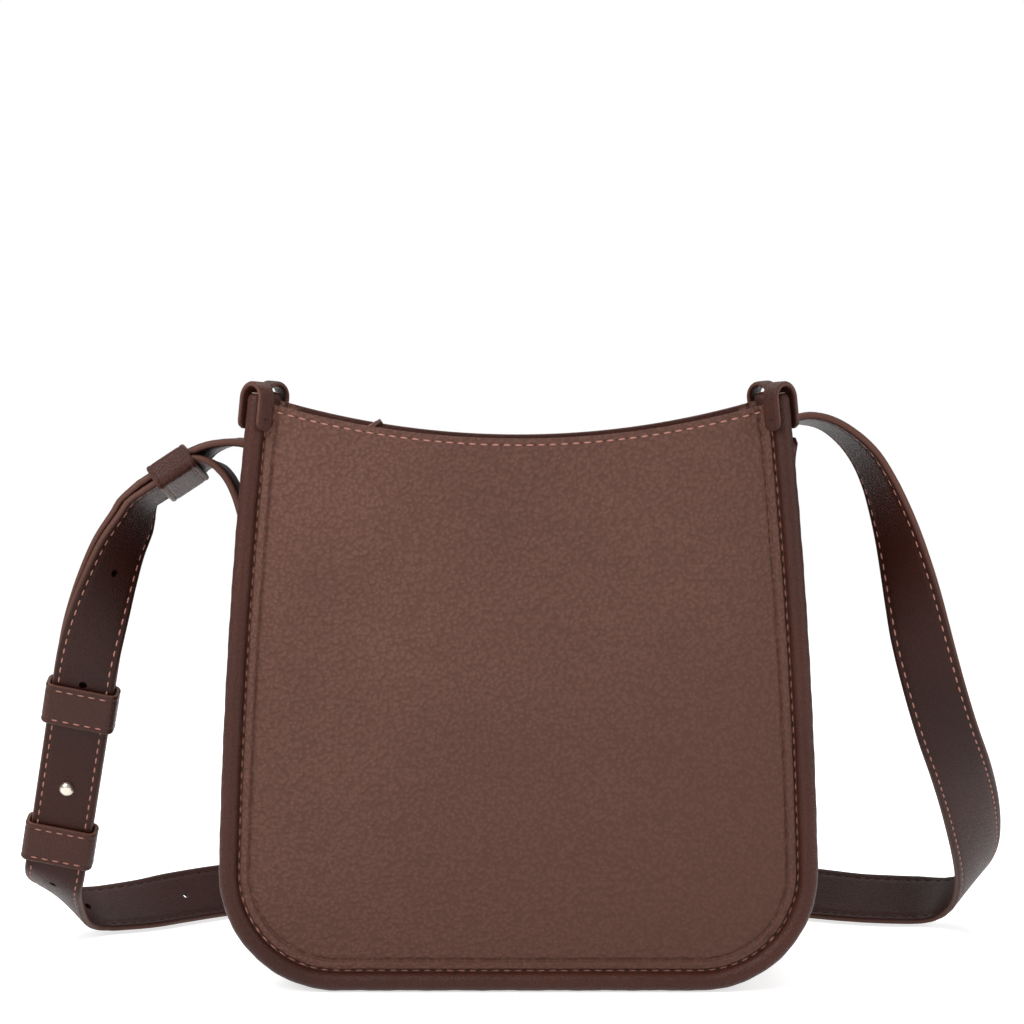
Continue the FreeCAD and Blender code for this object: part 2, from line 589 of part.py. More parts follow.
def straight_frames(stations):
    """Both ends of each straight stretch take its exact direction and its mean width."""
    for first in (LOW_STRAIGHT, UPPER_STRAIGHT):
        travel = stations[first + 1][0] - stations[first][0]
        travel.normalize()
        width = stations[first][2] + stations[first + 1][2]
        width = width - travel * width.dot(travel)
        width.normalize()
        for k in (first, first + 1):
            stations[k] = (stations[k][0], travel, width, travel.cross(width))
    return stations


def ribbon(stations):
    """Flat strap through the stations."""
    wires = []
    for here, travel, width, normal in stations:
        across = width * (STRAP_W / 2.0)
        thick = normal * (STRAP_T / 2.0)
        corners = [here + across + thick, here - across + thick, here - across - thick, here + across - thick]
        wires.append(Part.makePolygon(corners + [corners[0]]))
    return Part.makeLoft(wires, True, True)


def on_straight(stations, first, share, offset=0.0):
    """A point on a straight stretch of the strap with its directions."""
    start, travel, width, normal = stations[first]
    end = stations[first + 1][0]
    return start + (end - start) * share + normal * offset, travel, width, normal


def return_layer(stations):
    """Second layer, from the left ring back down to just past the lower keeper."""
    offset = STRAP_T + LAYER_GAP
    layer = []
    for k in range(UPPER_STRAIGHT + 1, LOW_STRAIGHT, -1):
        here, travel, width, normal = stations[k]
        layer.append((here + normal * offset, travel * -1.0, width, normal * -1.0))
    end, travel, width, normal = on_straight(stations, LOW_STRAIGHT, 0.03, offset)
    layer.append((end, travel * -1.0, width, normal * -1.0))
    return layer


def hole_at(place, travel, normal, radius, reach):
    return Part.makeCylinder(radius, 2.0 * reach, place - normal * reach, normal)


def stations_length(stations):
    total = 0.0
    for k in range(len(stations) - 1):
        total += (stations[k + 1][0] - stations[k][0]).Length
    return total


def spare_holes(stations):
    """Spare stud holes, one pitch apart along the strap from the stud."""
    stud = on_straight(stations, LOW_STRAIGHT, STUD_AT)[0]
    holes = []
    for step in (-1, 1):
        travelled = 0.0
        previous = stud
        index = LOW_STRAIGHT if step < 0 else LOW_STRAIGHT + 1
        wanted = HOLE_PITCH
        found = 0
        while found < (3 if step < 0 else 2):
            here = stations[index][0]
            span = (here - previous).Length
            while travelled + span >= wanted and found < (3 if step < 0 else 2):
                share = (wanted - travelled) / span
                place = previous + (here - previous) * share
                holes.append((place, stations[index][1], stations[index][3]))
                wanted += HOLE_PITCH
                found += 1
            travelled += span
            previous = here
            index += step
    return holes


def shoulder_strap():
    stations = straight_frames(frames(ROUTE))
    whole = stations + return_layer(stations)
    shape = ribbon(whole)
    place, travel, width, normal = on_straight(stations, LOW_STRAIGHT, STUD_AT, (STRAP_T + LAYER_GAP) / 2.0)
    cutters = [hole_at(place, travel, normal, STUD_STEM_R, STRAP_T * 2.0)]
    for place, travel, normal in spare_holes(stations):
        cutters.append(hole_at(place, travel, normal, HOLE_R, (STRAP_T + LAYER_GAP) / 2.0))
    shape = shape.cut(cutters)
    print("strap length %.0f mm" % stations_length(whole))
    return shape


def placed(shape, place, x_axis, y_axis, z_axis):
    """The shape moved from the origin to a place with the given right-handed axes."""
    turn = Matrix(x_axis.x, y_axis.x, z_axis.x, place.x,
                  x_axis.y, y_axis.y, z_axis.y, place.y,
                  x_axis.z, y_axis.z, z_axis.z, place.z,
                  0, 0, 0, 1)
    shape.Placement = Placement(turn)
    return shape


def stud(stations):
    """Domed head with its stem on the near side, screwed plate on the return layer."""
    place, travel, width, normal = on_straight(stations, LOW_STRAIGHT, STUD_AT)
    face = STRAP_T / 2.0 + 0.02
    far = STRAP_T * 1.5 + LAYER_GAP + 0.02
    stem = STUD_STEM_R - 0.05
    shoulder = face + 0.78 * STUD_RISE
    dome = Part.Arc(point(0, face + STUD_RISE), point(0.72 * STUD_HEAD_R, shoulder), point(STUD_HEAD_R, face))
    edges = [dome.toShape(),
             Part.makeLine(point(STUD_HEAD_R, face), point(stem, face)),
             Part.makeLine(point(stem, face), point(stem, -far)),
             Part.makeLine(point(stem, -far), point(0, -far)),
             Part.makeLine(point(0, -far), point(0, face + STUD_RISE))]
    head = Part.Face(Part.Wire(edges)).revolve(Vector(0, 0, 0), Vector(0, 0, 1), 360)
    plate = Part.makeCylinder(STUD_PLATE_R, STUD_PLATE_T, place + normal * far, normal)
    return placed(head, place, width, travel, normal * -1.0), plate


def keeper(place, travel, width, normal):
    """Closed leather loop round both layers of the strap."""
    inner_w = STRAP_W + 2.0 * KEEPER_CLEAR
    inner_t = 2.0 * STRAP_T + LAYER_GAP + 2.0 * KEEPER_CLEAR
    outer_w = inner_w + 2.0 * KEEPER_T
    outer_t = inner_t + 2.0 * KEEPER_T
    block = box(-outer_w / 2.0, outer_w / 2.0, -outer_t / 2.0, outer_t / 2.0, -KEEPER_L / 2.0, KEEPER_L / 2.0)
    block = block.makeFillet(3.0, [e for e in block.Edges if abs(e.BoundBox.ZLength - KEEPER_L) < 0.01])
    void = box(-inner_w / 2.0, inner_w / 2.0, -inner_t / 2.0, inner_t / 2.0, -KEEPER_L, KEEPER_L)
    block = block.cut(void)
    return placed(block, place, width, normal, travel)


# ---- build ----------------------------------------------------------------
def write(name, shape):
    shape.exportStep("parts/%s.step" % name)
    print("%-24s volume %9.1f valid %s solids %d" % (name, shape.Volume, shape.isValid(), len(shape.Solids)))


def main():
    os.makedirs("parts", exist_ok=True)
    stations = straight_frames(frames(ROUTE))
    mid = (STRAP_T + LAYER_GAP) / 2.0
    for name, shape in (("panel", panel()), ("piping", piping()), ("piping_cord", piping_cord()),
                        ("top_facing", top_facing()), ("interlining", interlining()),
                        ("zip_panel", zip_panel()), ("zip_tape", zip_tape()), ("zip_teeth", zip_teeth())):
        write("front_" + name, shape)
        write("back_" + name, to_back(shape))
    write("gusset", gusset())
    write("base_board", base_board())
    write("lining", lining())
    write("slip_pocket", slip_pocket())
    ear = ear_tab()
    write("ear_tab_front_left", ear)
    write("ear_tab_front_right", to_right(ear))
    write("ear_tab_back_left", to_back(ear))
    write("ear_tab_back_right", to_back(to_right(ear)))
    write("zip_top_stops", zip_top_stops())
    write("zip_bottom_stop", zip_bottom_stop())
    write("zip_slider", zip_slider())
    write("pull_link", pull_link())
    write("pull_leather", pull_leather())
    tab = ring_tab()
    write("ring_tab_left", tab)
    write("ring_tab_right", to_right(tab))
    ring = strap_ring()
    write("strap_ring_left", ring)
    write("strap_ring_right", to_right(ring))
    write("shoulder_strap", shoulder_strap())
    head, plate = stud(stations)
    write("stud_head", head)
    write("stud_plate", plate)
    write("keeper_upper", keeper(*on_straight(stations, UPPER_STRAIGHT, KEEPER_UPPER_AT, mid)))
    write("keeper_middle", keeper(*on_straight(stations, LOW_STRAIGHT, KEEPER_MIDDLE_AT, mid)))
    write("keeper_lower", keeper(*on_straight(stations, LOW_STRAIGHT, KEEPER_LOWER_AT, mid)))
    for name, first in (("lower stretch", LOW_STRAIGHT), ("upper stretch", UPPER_STRAIGHT)):
        print(name, stations[first][0], "travel", stations[first][1], "normal", stations[first][3],
              "length", (stations[first + 1][0] - stations[first][0]).Length)


main()
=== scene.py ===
"""Crossbody purse: leather shells, piping, strap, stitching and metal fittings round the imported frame."""
import math

import bpy
import numpy as np
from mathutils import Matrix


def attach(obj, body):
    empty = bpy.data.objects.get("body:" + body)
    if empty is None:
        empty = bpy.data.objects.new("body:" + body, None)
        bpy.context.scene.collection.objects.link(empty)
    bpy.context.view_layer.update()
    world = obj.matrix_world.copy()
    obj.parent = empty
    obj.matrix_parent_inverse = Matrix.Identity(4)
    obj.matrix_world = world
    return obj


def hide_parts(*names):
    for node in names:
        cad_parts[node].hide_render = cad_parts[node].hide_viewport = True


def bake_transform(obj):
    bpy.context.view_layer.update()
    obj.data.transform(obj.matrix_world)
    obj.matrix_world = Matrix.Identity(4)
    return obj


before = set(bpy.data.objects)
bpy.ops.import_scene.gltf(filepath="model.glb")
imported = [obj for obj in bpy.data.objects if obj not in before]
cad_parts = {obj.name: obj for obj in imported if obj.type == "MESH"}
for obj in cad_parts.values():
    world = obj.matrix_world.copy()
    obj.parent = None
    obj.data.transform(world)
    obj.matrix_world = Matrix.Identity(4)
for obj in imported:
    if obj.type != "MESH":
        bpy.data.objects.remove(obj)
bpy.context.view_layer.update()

MM = 0.001
WELD = 1e-6                # metres within which two points are one

# ---- sizes in millimetres, as in the part ---------------------------------
BASE_HALF = 73.0
CORNER_R = 44.0
SIDE_START = math.radians(1.5)
TOP_HALF = 104.2
EAR_Z = 241.0
RIM_MID_Z = 222.8
RIM_R = (160.0 ** 2 + 37.376 ** 2) / (2.0 * 37.376)
SEAM_Y = 39.0
PIPE_R = 3.8
PIPE_CORE_R = 2.3
CORNER_Z = PIPE_R + CORNER_R
PANEL_Y = 39.2
PANEL_T = 1.8
STRAP_W = 26.0
STRAP_T = 3.2
LAYER_GAP = 0.3
RING_Z = 200.0
RING_IN_X = 97.1
LOOP_HALF = 104.7
ZIP_Z = 212.0
SLIDER_X = -76.0
PULL_AXIS_Z = 216.2
PULL_ANGLE = math.radians(33.0)
STITCH_PITCH = 4.6
STITCH_L = 2.9
STITCH_INSET = 4.35        # seam stitches, from the middle of the piping
RIM_STITCH_DROP = 2.6      # rim stitches, below the top edge
STRAP_STITCH_AT = 10.2     # from the middle of the strap
KEEPER_STITCH_AT = 6.9
TAB_STITCH_AT = 8.6
HOLE_PITCH = 50.0
HOLE_R = 1.7
FACING_H = 27.6

# middle of the strap and the direction of its width, from the right end round to the left ring
ROUTE = [
    (113.4, 0.0, 222.5, 0.00, 1.00, 0.00),
    (112.0, 0.0, 214.0, 0.00, 1.00, 0.00),
    (112.0, 0.0, 192.0, 0.00, 1.00, 0.00),
    (110.9, 0.0, 189.4, 0.00, 1.00, 0.00),
    (108.3, 0.0, 188.3, 0.00, 1.00, 0.00),
    (105.8, 0.0, 189.4, 0.00, 1.00, 0.00),
    (LOOP_HALF, 0.0, 192.0, 0.00, 1.00, 0.00),
    (LOOP_HALF, 0.0, 217.0, 0.00, 1.00, 0.00),
    (106.6, 0.0, 224.0, 0.00, 1.00, 0.00),
    (111.3, 0.0, 228.8, -0.01, 0.99, -0.06),
    (119.0, 0.0, 230.2, -0.03, 0.99, -0.12),
    (127.7, 0.0, 228.1, -0.06, 0.99, -0.15),
    (136.5, -0.2, 222.0, -0.13, 0.97, -0.20),
    (143.7, -0.7, 213.7, -0.24, 0.94, -0.24),
    (149.1, -1.4, 203.5, -0.36, 0.91, -0.22),
    (153.3, -2.0, 192.5, -0.48, 0.85, -0.21),
    (156.9, -2.7, 181.0, -0.59, 0.77, -0.20),
    (160.1, -3.3, 168.5, -0.71, 0.67, -0.20),
    (163.2, -3.6, 155.0, -0.82, 0.53, -0.20),
    (166.3, -3.2, 141.0, -0.90, 0.38, -0.20),
    (170.2, -1.3, 126.5, -0.93, 0.31, -0.21),
    (174.9, 2.8, 111.5, -0.94, 0.26, -0.22),
    (180.2, 9.5, 97.0, -0.95, 0.20, -0.24),
    (186.0, 19.0, 83.5, -0.95, 0.10, -0.28),
    (191.3, 31.5, 70.5, -0.93, 0.00, -0.36),
    (195.8, 45.0, 58.0, -0.88, -0.08, -0.45),
    (199.4, 58.5, 46.5, -0.82, -0.17, -0.54),
    (201.8, 71.0, 36.8, -0.76, -0.27, -0.58),
    (202.6, 83.0, 28.2, -0.71, -0.38, -0.60),
    (201.6, 94.0, 20.5, -0.62, -0.50, -0.58),
    (198.4, 103.0, 14.6, -0.55, -0.60, -0.56),
    (192.0, 109.6, 11.1, -0.44, -0.67, -0.60),
    (182.5, 112.0, 10.1, -0.28, -0.68, -0.67),
    (170.0, 111.8, 10.3, -0.17, -0.69, -0.70),
    (154.5, 115.6, 10.4, -0.10, -0.70, -0.70),
    (134.0, 125.3, 10.9, 0.00, -0.70, -0.71),
    (100.0, 145.5, 11.4, 0.10, -0.68, -0.72),
    (58.0, 166.5, 11.2, 0.10, -0.67, -0.73),
    (15.0, 178.5, 10.8, 0.03, -0.67, -0.74),
    (-30.0, 178.8, 10.8, -0.03, -0.67, -0.74),
    (-70.0, 168.0, 11.2, -0.05, -0.66, -0.74),
    (-105.0, 150.0, 11.4, 0.02, -0.66, -0.75),
    (-135.3, 129.2, 11.4, 0.09, -0.66, -0.75),
    (-155.1, 111.3, 11.1, 0.13, -0.69, -0.71),
    (-166.3, 101.2, 10.5, 0.16, -0.71, -0.69),
    (-177.4, 95.0, 10.1, 0.24, -0.71, -0.66),
    (-186.6, 91.3, 9.9, 0.33, -0.72, -0.60),
    (-193.6, 84.8, 11.2, 0.42, -0.74, -0.52),
    (-197.4, 75.4, 14.9, 0.53, -0.74, -0.43),
    (-199.2, 65.0, 19.6, 0.67, -0.67, -0.34),
    (-200.1, 55.2, 23.8, 0.80, -0.54, -0.25),
    (-200.2, 47.2, 27.6, 0.88, -0.40, -0.21),
    (-199.6, 41.2, 31.2, 0.95, -0.20, -0.20),
    (-198.3, 36.4, 36.2, 0.98, 0.02, -0.20),
    (-179.3, 0.7, 127.1, 0.98, 0.02, -0.20),
    (-176.4, -2.6, 138.5, 0.94, 0.22, -0.27),
    (-173.0, -4.4, 150.0, 0.85, 0.41, -0.33),
    (-169.0, -4.8, 162.5, 0.73, 0.59, -0.35),
    (-164.2, -4.2, 175.5, 0.59, 0.72, -0.36),
    (-158.6, -2.9, 186.5, 0.43, 0.83, -0.36),
    (-156.2, -2.0, 192.4, 0.32, 0.89, -0.32),
    (-152.9, -1.2, 197.5, 0.17, 0.96, -0.22),
    (-132.0, 0.0, 211.3, 0.15, 0.97, -0.20),
    (-127.6, 0.0, 212.0, 0.08, 0.99, -0.12),
    (-122.6, 0.0, 209.4, 0.03, 1.00, -0.04),
    (-118.7, 0.0, 204.6, 0.00, 1.00, 0.00),
    (-115.6, 0.0, 197.6, 0.00, 1.00, 0.00),
    (-113.2, 0.0, 189.5, 0.00, 1.00, 0.00),
    (-111.4, 0.0, 184.9, 0.00, 1.00, 0.00),
    (-108.6, 0.0, 182.6, 0.00, 1.00, 0.00),
    (-105.8, 0.0, 184.2, 0.00, 1.00, 0.00),
    (-LOOP_HALF, 0.0, 188.0, 0.00, 1.00, 0.00),
    (-LOOP_HALF, 0.0, 210.0, 0.00, 1.00, 0.00),
    (-106.4, 0.0, 215.6, 0.00, 1.00, 0.00),
    (-110.6, 0.0, 219.3, 0.00, 1.00, 0.00),
    (-116.2, 0.0, 220.5, 0.00, 1.00, 0.00),
    (-122.4, 0.0, 219.6, 0.04, 1.00, -0.05),
    (-128.8, 0.0, 217.2, 0.10, 0.99, -0.14),
]
LOW_STRAIGHT = 53
UPPER_STRAIGHT = 61
STUD_AT = 0.418
KEEPERS = (("upper", UPPER_STRAIGHT, 0.63), ("middle", LOW_STRAIGHT, 0.812), ("lower", LOW_STRAIGHT, 0.137))


# ---- small tools ----------------------------------------------------------
def unit(v):
    v = np.asarray(v, float)
    return v / np.linalg.norm(v, axis=-1, keepdims=True)


def step(low, high, value):
    """Smooth 0 to 1 between low and high."""
    t = np.clip((np.asarray(value, float) - low) / (high - low), 0.0, 1.0)
    return t * t * (3.0 - 2.0 * t)


def deselect():
    if bpy.context.mode != "OBJECT":
        bpy.ops.object.mode_set(mode="OBJECT")
    bpy.ops.object.select_all(action="DESELECT")


def only(piece):
    deselect()
    piece.select_set(True)
    bpy.context.view_layer.objects.active = piece


def get_points(piece):
    co = np.empty(len(piece.data.vertices) * 3)
    piece.data.vertices.foreach_get("co", co)
    return co.reshape(-1, 3)


def set_points(piece, points):
    piece.data.vertices.foreach_set("co", np.ascontiguousarray(points, float).ravel())
    piece.data.update()


def grid(name, columns, rows, place):
    """A flat grid whose points are moved to place(column share, row share), in millimetres."""
    deselect()
    bpy.ops.mesh.primitive_grid_add(x_subdivisions=columns, y_subdivisions=rows, size=2)
    piece = bpy.context.object
    piece.name = name
    co = get_points(piece)
    u, v = (co[:, 0] + 1.0) / 2.0, (co[:, 1] + 1.0) / 2.0
    set_points(piece, place(u, v) * MM)
    return piece


def modifier(piece, kind, **values):
    only(piece)
    m = piece.modifiers.new(kind.title(), kind)
    for key, value in values.items():
        setattr(m, key, value)
    bpy.ops.object.modifier_apply(modifier=m.name)


def edit(piece, *calls):
    """Runs edit-mode operators on everything in the piece."""
    only(piece)
    bpy.ops.object.mode_set(mode="EDIT")
    bpy.ops.mesh.select_all(action="SELECT")
    for call, values in calls:
        getattr(bpy.ops.mesh, call)(**values)
    bpy.ops.object.mode_set(mode="OBJECT")


def smooth(piece, degrees=50.0):
    only(piece)
    bpy.ops.object.shade_smooth_by_angle(angle=math.radians(degrees))


def wall(piece, outward, thickness, rounding=0.0):
    """Gives a sheet its thickness on the side away from outward(points)."""
    normals = np.empty(len(piece.data.vertices) * 3)
    piece.data.vertex_normals.foreach_get("vector", normals)
    facing = (normals.reshape(-1, 3) * outward(get_points(piece))).sum(1).mean()
    if facing < 0:
        edit(piece, ("flip_normals", {}))
    modifier(piece, "SOLIDIFY", thickness=thickness * MM, offset=-1.0, use_even_offset=False)
    if rounding:
        modifier(piece, "BEVEL", width=rounding * MM, segments=2, limit_method="ANGLE",
                 angle_limit=math.radians(50))
    smooth(piece)


def mark(piece, name, values):
    layer = piece.data.attributes.new(name, "FLOAT", "POINT")
    layer.data.foreach_set("value", np.ascontiguousarray(values, np.float32))


def strip(name, points, across, normal, profile, closed=False):
    """Leather strip swept along points. profile(share round, share along) gives (across, normal)."""
    rows = len(points) if closed else len(points) - 1
    if closed:
        points, across, normal = (np.vstack([a, a[:1]]) for a in (points, across, normal))
    columns = profile.columns

    def place(u, v):
        k = np.rint(v * rows).astype(int)
        w, n = profile(u, v)
        place.across = w
        return points[k] + across[k] * w[:, None] + normal[k] * n[:, None]

    piece = grid(name, columns, rows, place)
    # mask of the strip's rounded edges, where the material paints a highlight
    edge_highlight = np.clip((np.abs(place.across) / np.abs(place.across).max() - 0.93) / 0.06, 0, 1)
    mark(piece, "edge_highlight", edge_highlight)
    edit(piece, ("remove_doubles", {"threshold": WELD}))
    if not closed:
        only(piece)
        bpy.ops.object.mode_set(mode="EDIT")
        bpy.ops.mesh.select_all(action="DESELECT")
        bpy.ops.mesh.select_mode(type="EDGE")
        bpy.ops.mesh.select_non_manifold()
        bpy.ops.mesh.fill_holes(sides=0)
        bpy.ops.object.mode_set(mode="OBJECT")
    edit(piece, ("normals_make_consistent", {"inside": False}))
    smooth(piece)
    return piece


def leather_profile(half_w, half_t, columns=44, groove_at=None, groove=0.28, belly=0.0, roll=0.0,
                    ends=0.0, length=1.0):
    """Rounded rectangle round a strip: turned edges, and a shallow channel where it is sewn."""
    edge_r = min(half_t, 1.5)

    def profile(u, v):
        # more points near the two edges than in the middle
        a = 2.0 * math.pi * u
        c, s = np.cos(a), np.sin(a)
        share = np.sign(c) * np.abs(c) ** 0.55
        w = half_w * share
        inner = half_w - edge_r
        past = np.clip((np.abs(w) - inner) / edge_r, 0.0, 1.0)
        t = half_t * np.sqrt(np.clip(1.0 - past ** 2, 0.0, 1.0))
        t = t + belly * (1.0 - share ** 2)
        if groove_at:
            for g in groove_at:
                t = t - groove * np.exp(-((np.abs(w) - g) / 0.55) ** 2) * (past < 0.9)
        if roll:
            t = t + roll * np.exp(-((np.abs(w) - half_w + 1.6) / 1.0) ** 2) * (past < 0.999)
        n = np.sign(s) * t
        n[np.abs(s) < 1e-6] = 0.0
        if ends:
            out = np.minimum(v, 1.0 - v) * length
            w = w * np.sqrt(np.clip(1.0 - (1.0 - np.clip(out / ends, 0.02, 1.0)) ** 2, 0.05, 1.0)) ** 0.6
            n = n * np.clip(0.55 + out / 1.2, 0.0, 1.0)
        return w, n

    profile.columns = columns
    return profile


def tube(name, points, radii, sides=6):
    """Round leather or cord along points, from a curve with a round bevel."""
    deselect()
    bpy.ops.curve.primitive_nurbs_path_add()
    line = bpy.context.object
    line.name = name
    data = line.data
    data.splines.clear()
    spline = data.splines.new("POLY")
    spline.points.add(len(points) - 1)
    spline.points.foreach_set("co", np.hstack([points * MM, np.ones((len(points), 1))]).ravel())
    spline.points.foreach_set("radius", np.asarray(radii, float))
    data.dimensions = "3D"
    data.bevel_depth = MM
    data.bevel_resolution = sides
    data.use_fill_caps = True
    bpy.ops.object.convert(target="MESH")
    piece = bpy.context.object
    piece.name = name
    edit(piece, ("remove_doubles", {"threshold": 1e-7}), ("normals_make_consistent", {"inside": False}))
    smooth(piece)
    return piece


def finish(piece, body, slot, material, *nodes):
    piece.data.materials.clear()
    piece.data.materials.append(material)
    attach(piece, body)
    if nodes:
        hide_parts(*nodes)
    return piece


# ---- finishes -------------------------------------------------------------
def srgb(r, g, b):
    linear = [(c / 255.0 / 12.92) if c <= 10.3 else ((c / 255.0 + 0.055) / 1.055) ** 2.4 for c in (r, g, b)]
    return tuple(linear) + (1.0,)


class Nodes:
    """Adds and links nodes in one tree."""

    def __init__(self, tree):
        self.tree = tree

    def add(self, kind, inputs=(), **values):
        node = self.tree.nodes.new(kind)
        for key, value in values.items():
            setattr(node, key, value)
        for key, value in dict(inputs).items():
            if isinstance(value, bpy.types.NodeSocket):
                self.tree.links.new(value, node.inputs[key])
            else:
                node.inputs[key].default_value = value
        return node

    def maths(self, operation, a, b=0.0, clamp=False):
        return self.add("ShaderNodeMath", {0: a, 1: b}, operation=operation, use_clamp=clamp).outputs[0]

    def mix(self, share, a, b):
        node = self.add("ShaderNodeMix", data_type="RGBA")
        for index, value in ((0, share), (6, a), (7, b)):
            if isinstance(value, bpy.types.NodeSocket):
                self.tree.links.new(value, node.inputs[index])
            else:
                node.inputs[index].default_value = value
        return node.outputs[2]


def group(name, inputs, outputs):
    tree = bpy.data.node_groups.new(name, "ShaderNodeTree")
    for label, value in inputs:
        socket = tree.interface.new_socket(label, in_out="INPUT", socket_type="NodeSocketFloat")
        socket.default_value = value
    for label in outputs:
        tree.interface.new_socket(label, in_out="OUTPUT", socket_type="NodeSocketFloat")
    n = Nodes(tree)
    return tree, n, n.add("NodeGroupInput"), n.add("NodeGroupOutput")


def leather_grain_group():
    """Pebbled grain: rounded cells with fine pores between them, and a mask of the valleys between the cells
    that carries painted shade.
    """
    tree, n, given, out = group("Leather grain", [("Cell Scale", 850.0), ("Pore", 0.35)],
                                ["Height", "Valley Shade"])
    where = n.add("ShaderNodeTexCoord").outputs["Object"]
    warp = n.add("ShaderNodeTexNoise", {"Vector": where, "Scale": 220.0, "Detail": 2.0})
    shift = n.add("ShaderNodeVectorMath", {0: warp.outputs["Color"], 1: (0.0009, 0.0009, 0.0009)},
                  operation="MULTIPLY")
    moved = n.add("ShaderNodeVectorMath", {0: where, 1: shift.outputs[0]}, operation="ADD")
    cells = n.add("ShaderNodeTexVoronoi", {"Vector": moved.outputs[0], "Scale": given.outputs["Cell Scale"]},
                  feature="SMOOTH_F1")
    cells.inputs["Smoothness"].default_value = 0.55
    fine = n.add("ShaderNodeTexNoise", {"Vector": where, "Scale": 2600.0, "Detail": 3.0})
    dome = n.maths("SUBTRACT", 1.0, cells.outputs["Distance"])
    pores = n.maths("MULTIPLY", fine.outputs["Fac"], given.outputs["Pore"])
    height = n.maths("ADD", dome, pores)
    valley_shade = n.add("ShaderNodeMapRange", {"Value": cells.outputs["Distance"], 1: 0.22, 2: 0.62}).outputs[0]
    tree.links.new(height, out.inputs["Height"])
    tree.links.new(valley_shade, out.inputs["Valley Shade"])
    return tree


def tone_group():
    """Slow changes of tone, as a hide takes dye unevenly."""
    tree, n, given, out = group("Hide tone", [("Size", 14.0)], ["Tone"])
    where = n.add("ShaderNodeTexCoord").outputs["Object"]
    noise = n.add("ShaderNodeTexNoise", {"Vector": where, "Scale": given.outputs["Size"], "Detail": 5.0})
    ramp = n.add("ShaderNodeMapRange", {"Value": noise.outputs["Fac"], 1: 0.33, 2: 0.68})
    tree.links.new(ramp.outputs[0], out.inputs["Tone"])
    return tree


def weave_group():
    """Plain weave from two crossed sets of threads."""
    tree, n, given, out = group("Plain weave", [("Threads", 1500.0)], ["Height"])
    where = n.add("ShaderNodeTexCoord").outputs["Object"]
    axes = n.add("ShaderNodeSeparateXYZ", {0: where})
    waves = []
    for a, b in (("X", "Z"), ("Y", "X")):
        turn = n.maths("MULTIPLY", axes.outputs[a], given.outputs["Threads"])
        lift = n.maths("MULTIPLY", axes.outputs[b], given.outputs["Threads"])
        waves.append(n.maths("MULTIPLY", n.maths("SINE", turn), n.maths("COSINE", lift)))
    tree.links.new(n.maths("ADD", waves[0], waves[1]), out.inputs["Height"])
    return tree


GRAIN = leather_grain_group()
TONE = tone_group()
WEAVE = weave_group()


def new_material(name, rough, specular=0.5, metallic=0.0):
    material = bpy.data.materials.new(name)
    material.use_nodes = True
    n = Nodes(material.node_tree)
    shader = material.node_tree.nodes["Principled BSDF"]
    shader.inputs["Roughness"].default_value = rough
    shader.inputs["Specular IOR Level"].default_value = specular
    shader.inputs["Metallic"].default_value = metallic
    return material, n, shader


def leather(name, pale, deep, edge_highlight, cell, bump, rough, specular=0.4, painted_shade=False):
    material, n, shader = new_material(name, rough, specular)
    grain = n.add("ShaderNodeGroup", node_tree=GRAIN)
    grain.inputs["Cell Scale"].default_value = cell
    tone = n.add("ShaderNodeGroup", node_tree=TONE)
    colour = n.mix(tone.outputs["Tone"], deep, pale)
    if painted_shade:
        # painted shade: the colour darkens towards the base, where the leather curves under, and towards the
        # right side, away from the key light; the grain is smoother there too
        axes = n.add("ShaderNodeSeparateXYZ", {0: n.add("ShaderNodeTexCoord").outputs["Object"]})
        low = n.add("ShaderNodeMapRange", {"Value": axes.outputs["Z"], 1: 0.0, 2: 0.2, 3: 1.0, 4: 0.0})
        right = n.add("ShaderNodeMapRange", {"Value": axes.outputs["X"], 1: -0.1, 2: 0.1, 3: 0.0, 4: 0.45})
        depth = n.maths("ADD", n.maths("MULTIPLY", low.outputs[0], 0.7), right.outputs[0], True)
        colour = n.mix(depth, colour, painted_shade)
        share = n.add("ShaderNodeMapRange", {"Value": depth, 1: 0.0, 2: 1.0, 3: 1.0, 4: 0.4})
        height = n.maths("MULTIPLY", grain.outputs["Height"], share.outputs[0])
    else:
        height = grain.outputs["Height"]
    # painted shade: the colour is darkened in the grain's valleys between the cells
    valley_shade = n.maths("MULTIPLY", grain.outputs["Valley Shade"], 0.42)
    colour = n.mix(valley_shade, colour, tuple(c * 0.45 for c in deep[:3]) + (1.0,))
    # painted highlight: the colour is lightened along the rounded edges of the strips
    edge_highlight_mask = n.add("ShaderNodeAttribute", attribute_name="edge_highlight")
    colour = n.mix(n.maths("MULTIPLY", edge_highlight_mask.outputs["Fac"], 0.75), colour, edge_highlight)
    n.tree.links.new(colour, shader.inputs["Base Color"])
    roughness = n.add("ShaderNodeMapRange", {"Value": grain.outputs["Valley Shade"], 1: 0.0, 2: 1.0,
                                             3: rough - 0.06, 4: rough + 0.14})
    n.tree.links.new(roughness.outputs[0], shader.inputs["Roughness"])
    surface = n.add("ShaderNodeBump", {"Height": height, "Distance": bump, "Strength": 1.0})
    n.tree.links.new(surface.outputs[0], shader.inputs["Normal"])
    return material


def cloth(name, pale, deep, threads, bump):
    material, n, shader = new_material(name, 0.85, 0.25)
    weave = n.add("ShaderNodeGroup", node_tree=WEAVE)
    weave.inputs["Threads"].default_value = threads
    share = n.maths("MULTIPLY_ADD", weave.outputs["Height"], 0.25)
    share.node.inputs[2].default_value = 0.5
    n.tree.links.new(n.mix(share, deep, pale), shader.inputs["Base Color"])
    surface = n.add("ShaderNodeBump", {"Height": weave.outputs["Height"], "Distance": bump})
    n.tree.links.new(surface.outputs[0], shader.inputs["Normal"])
    return material


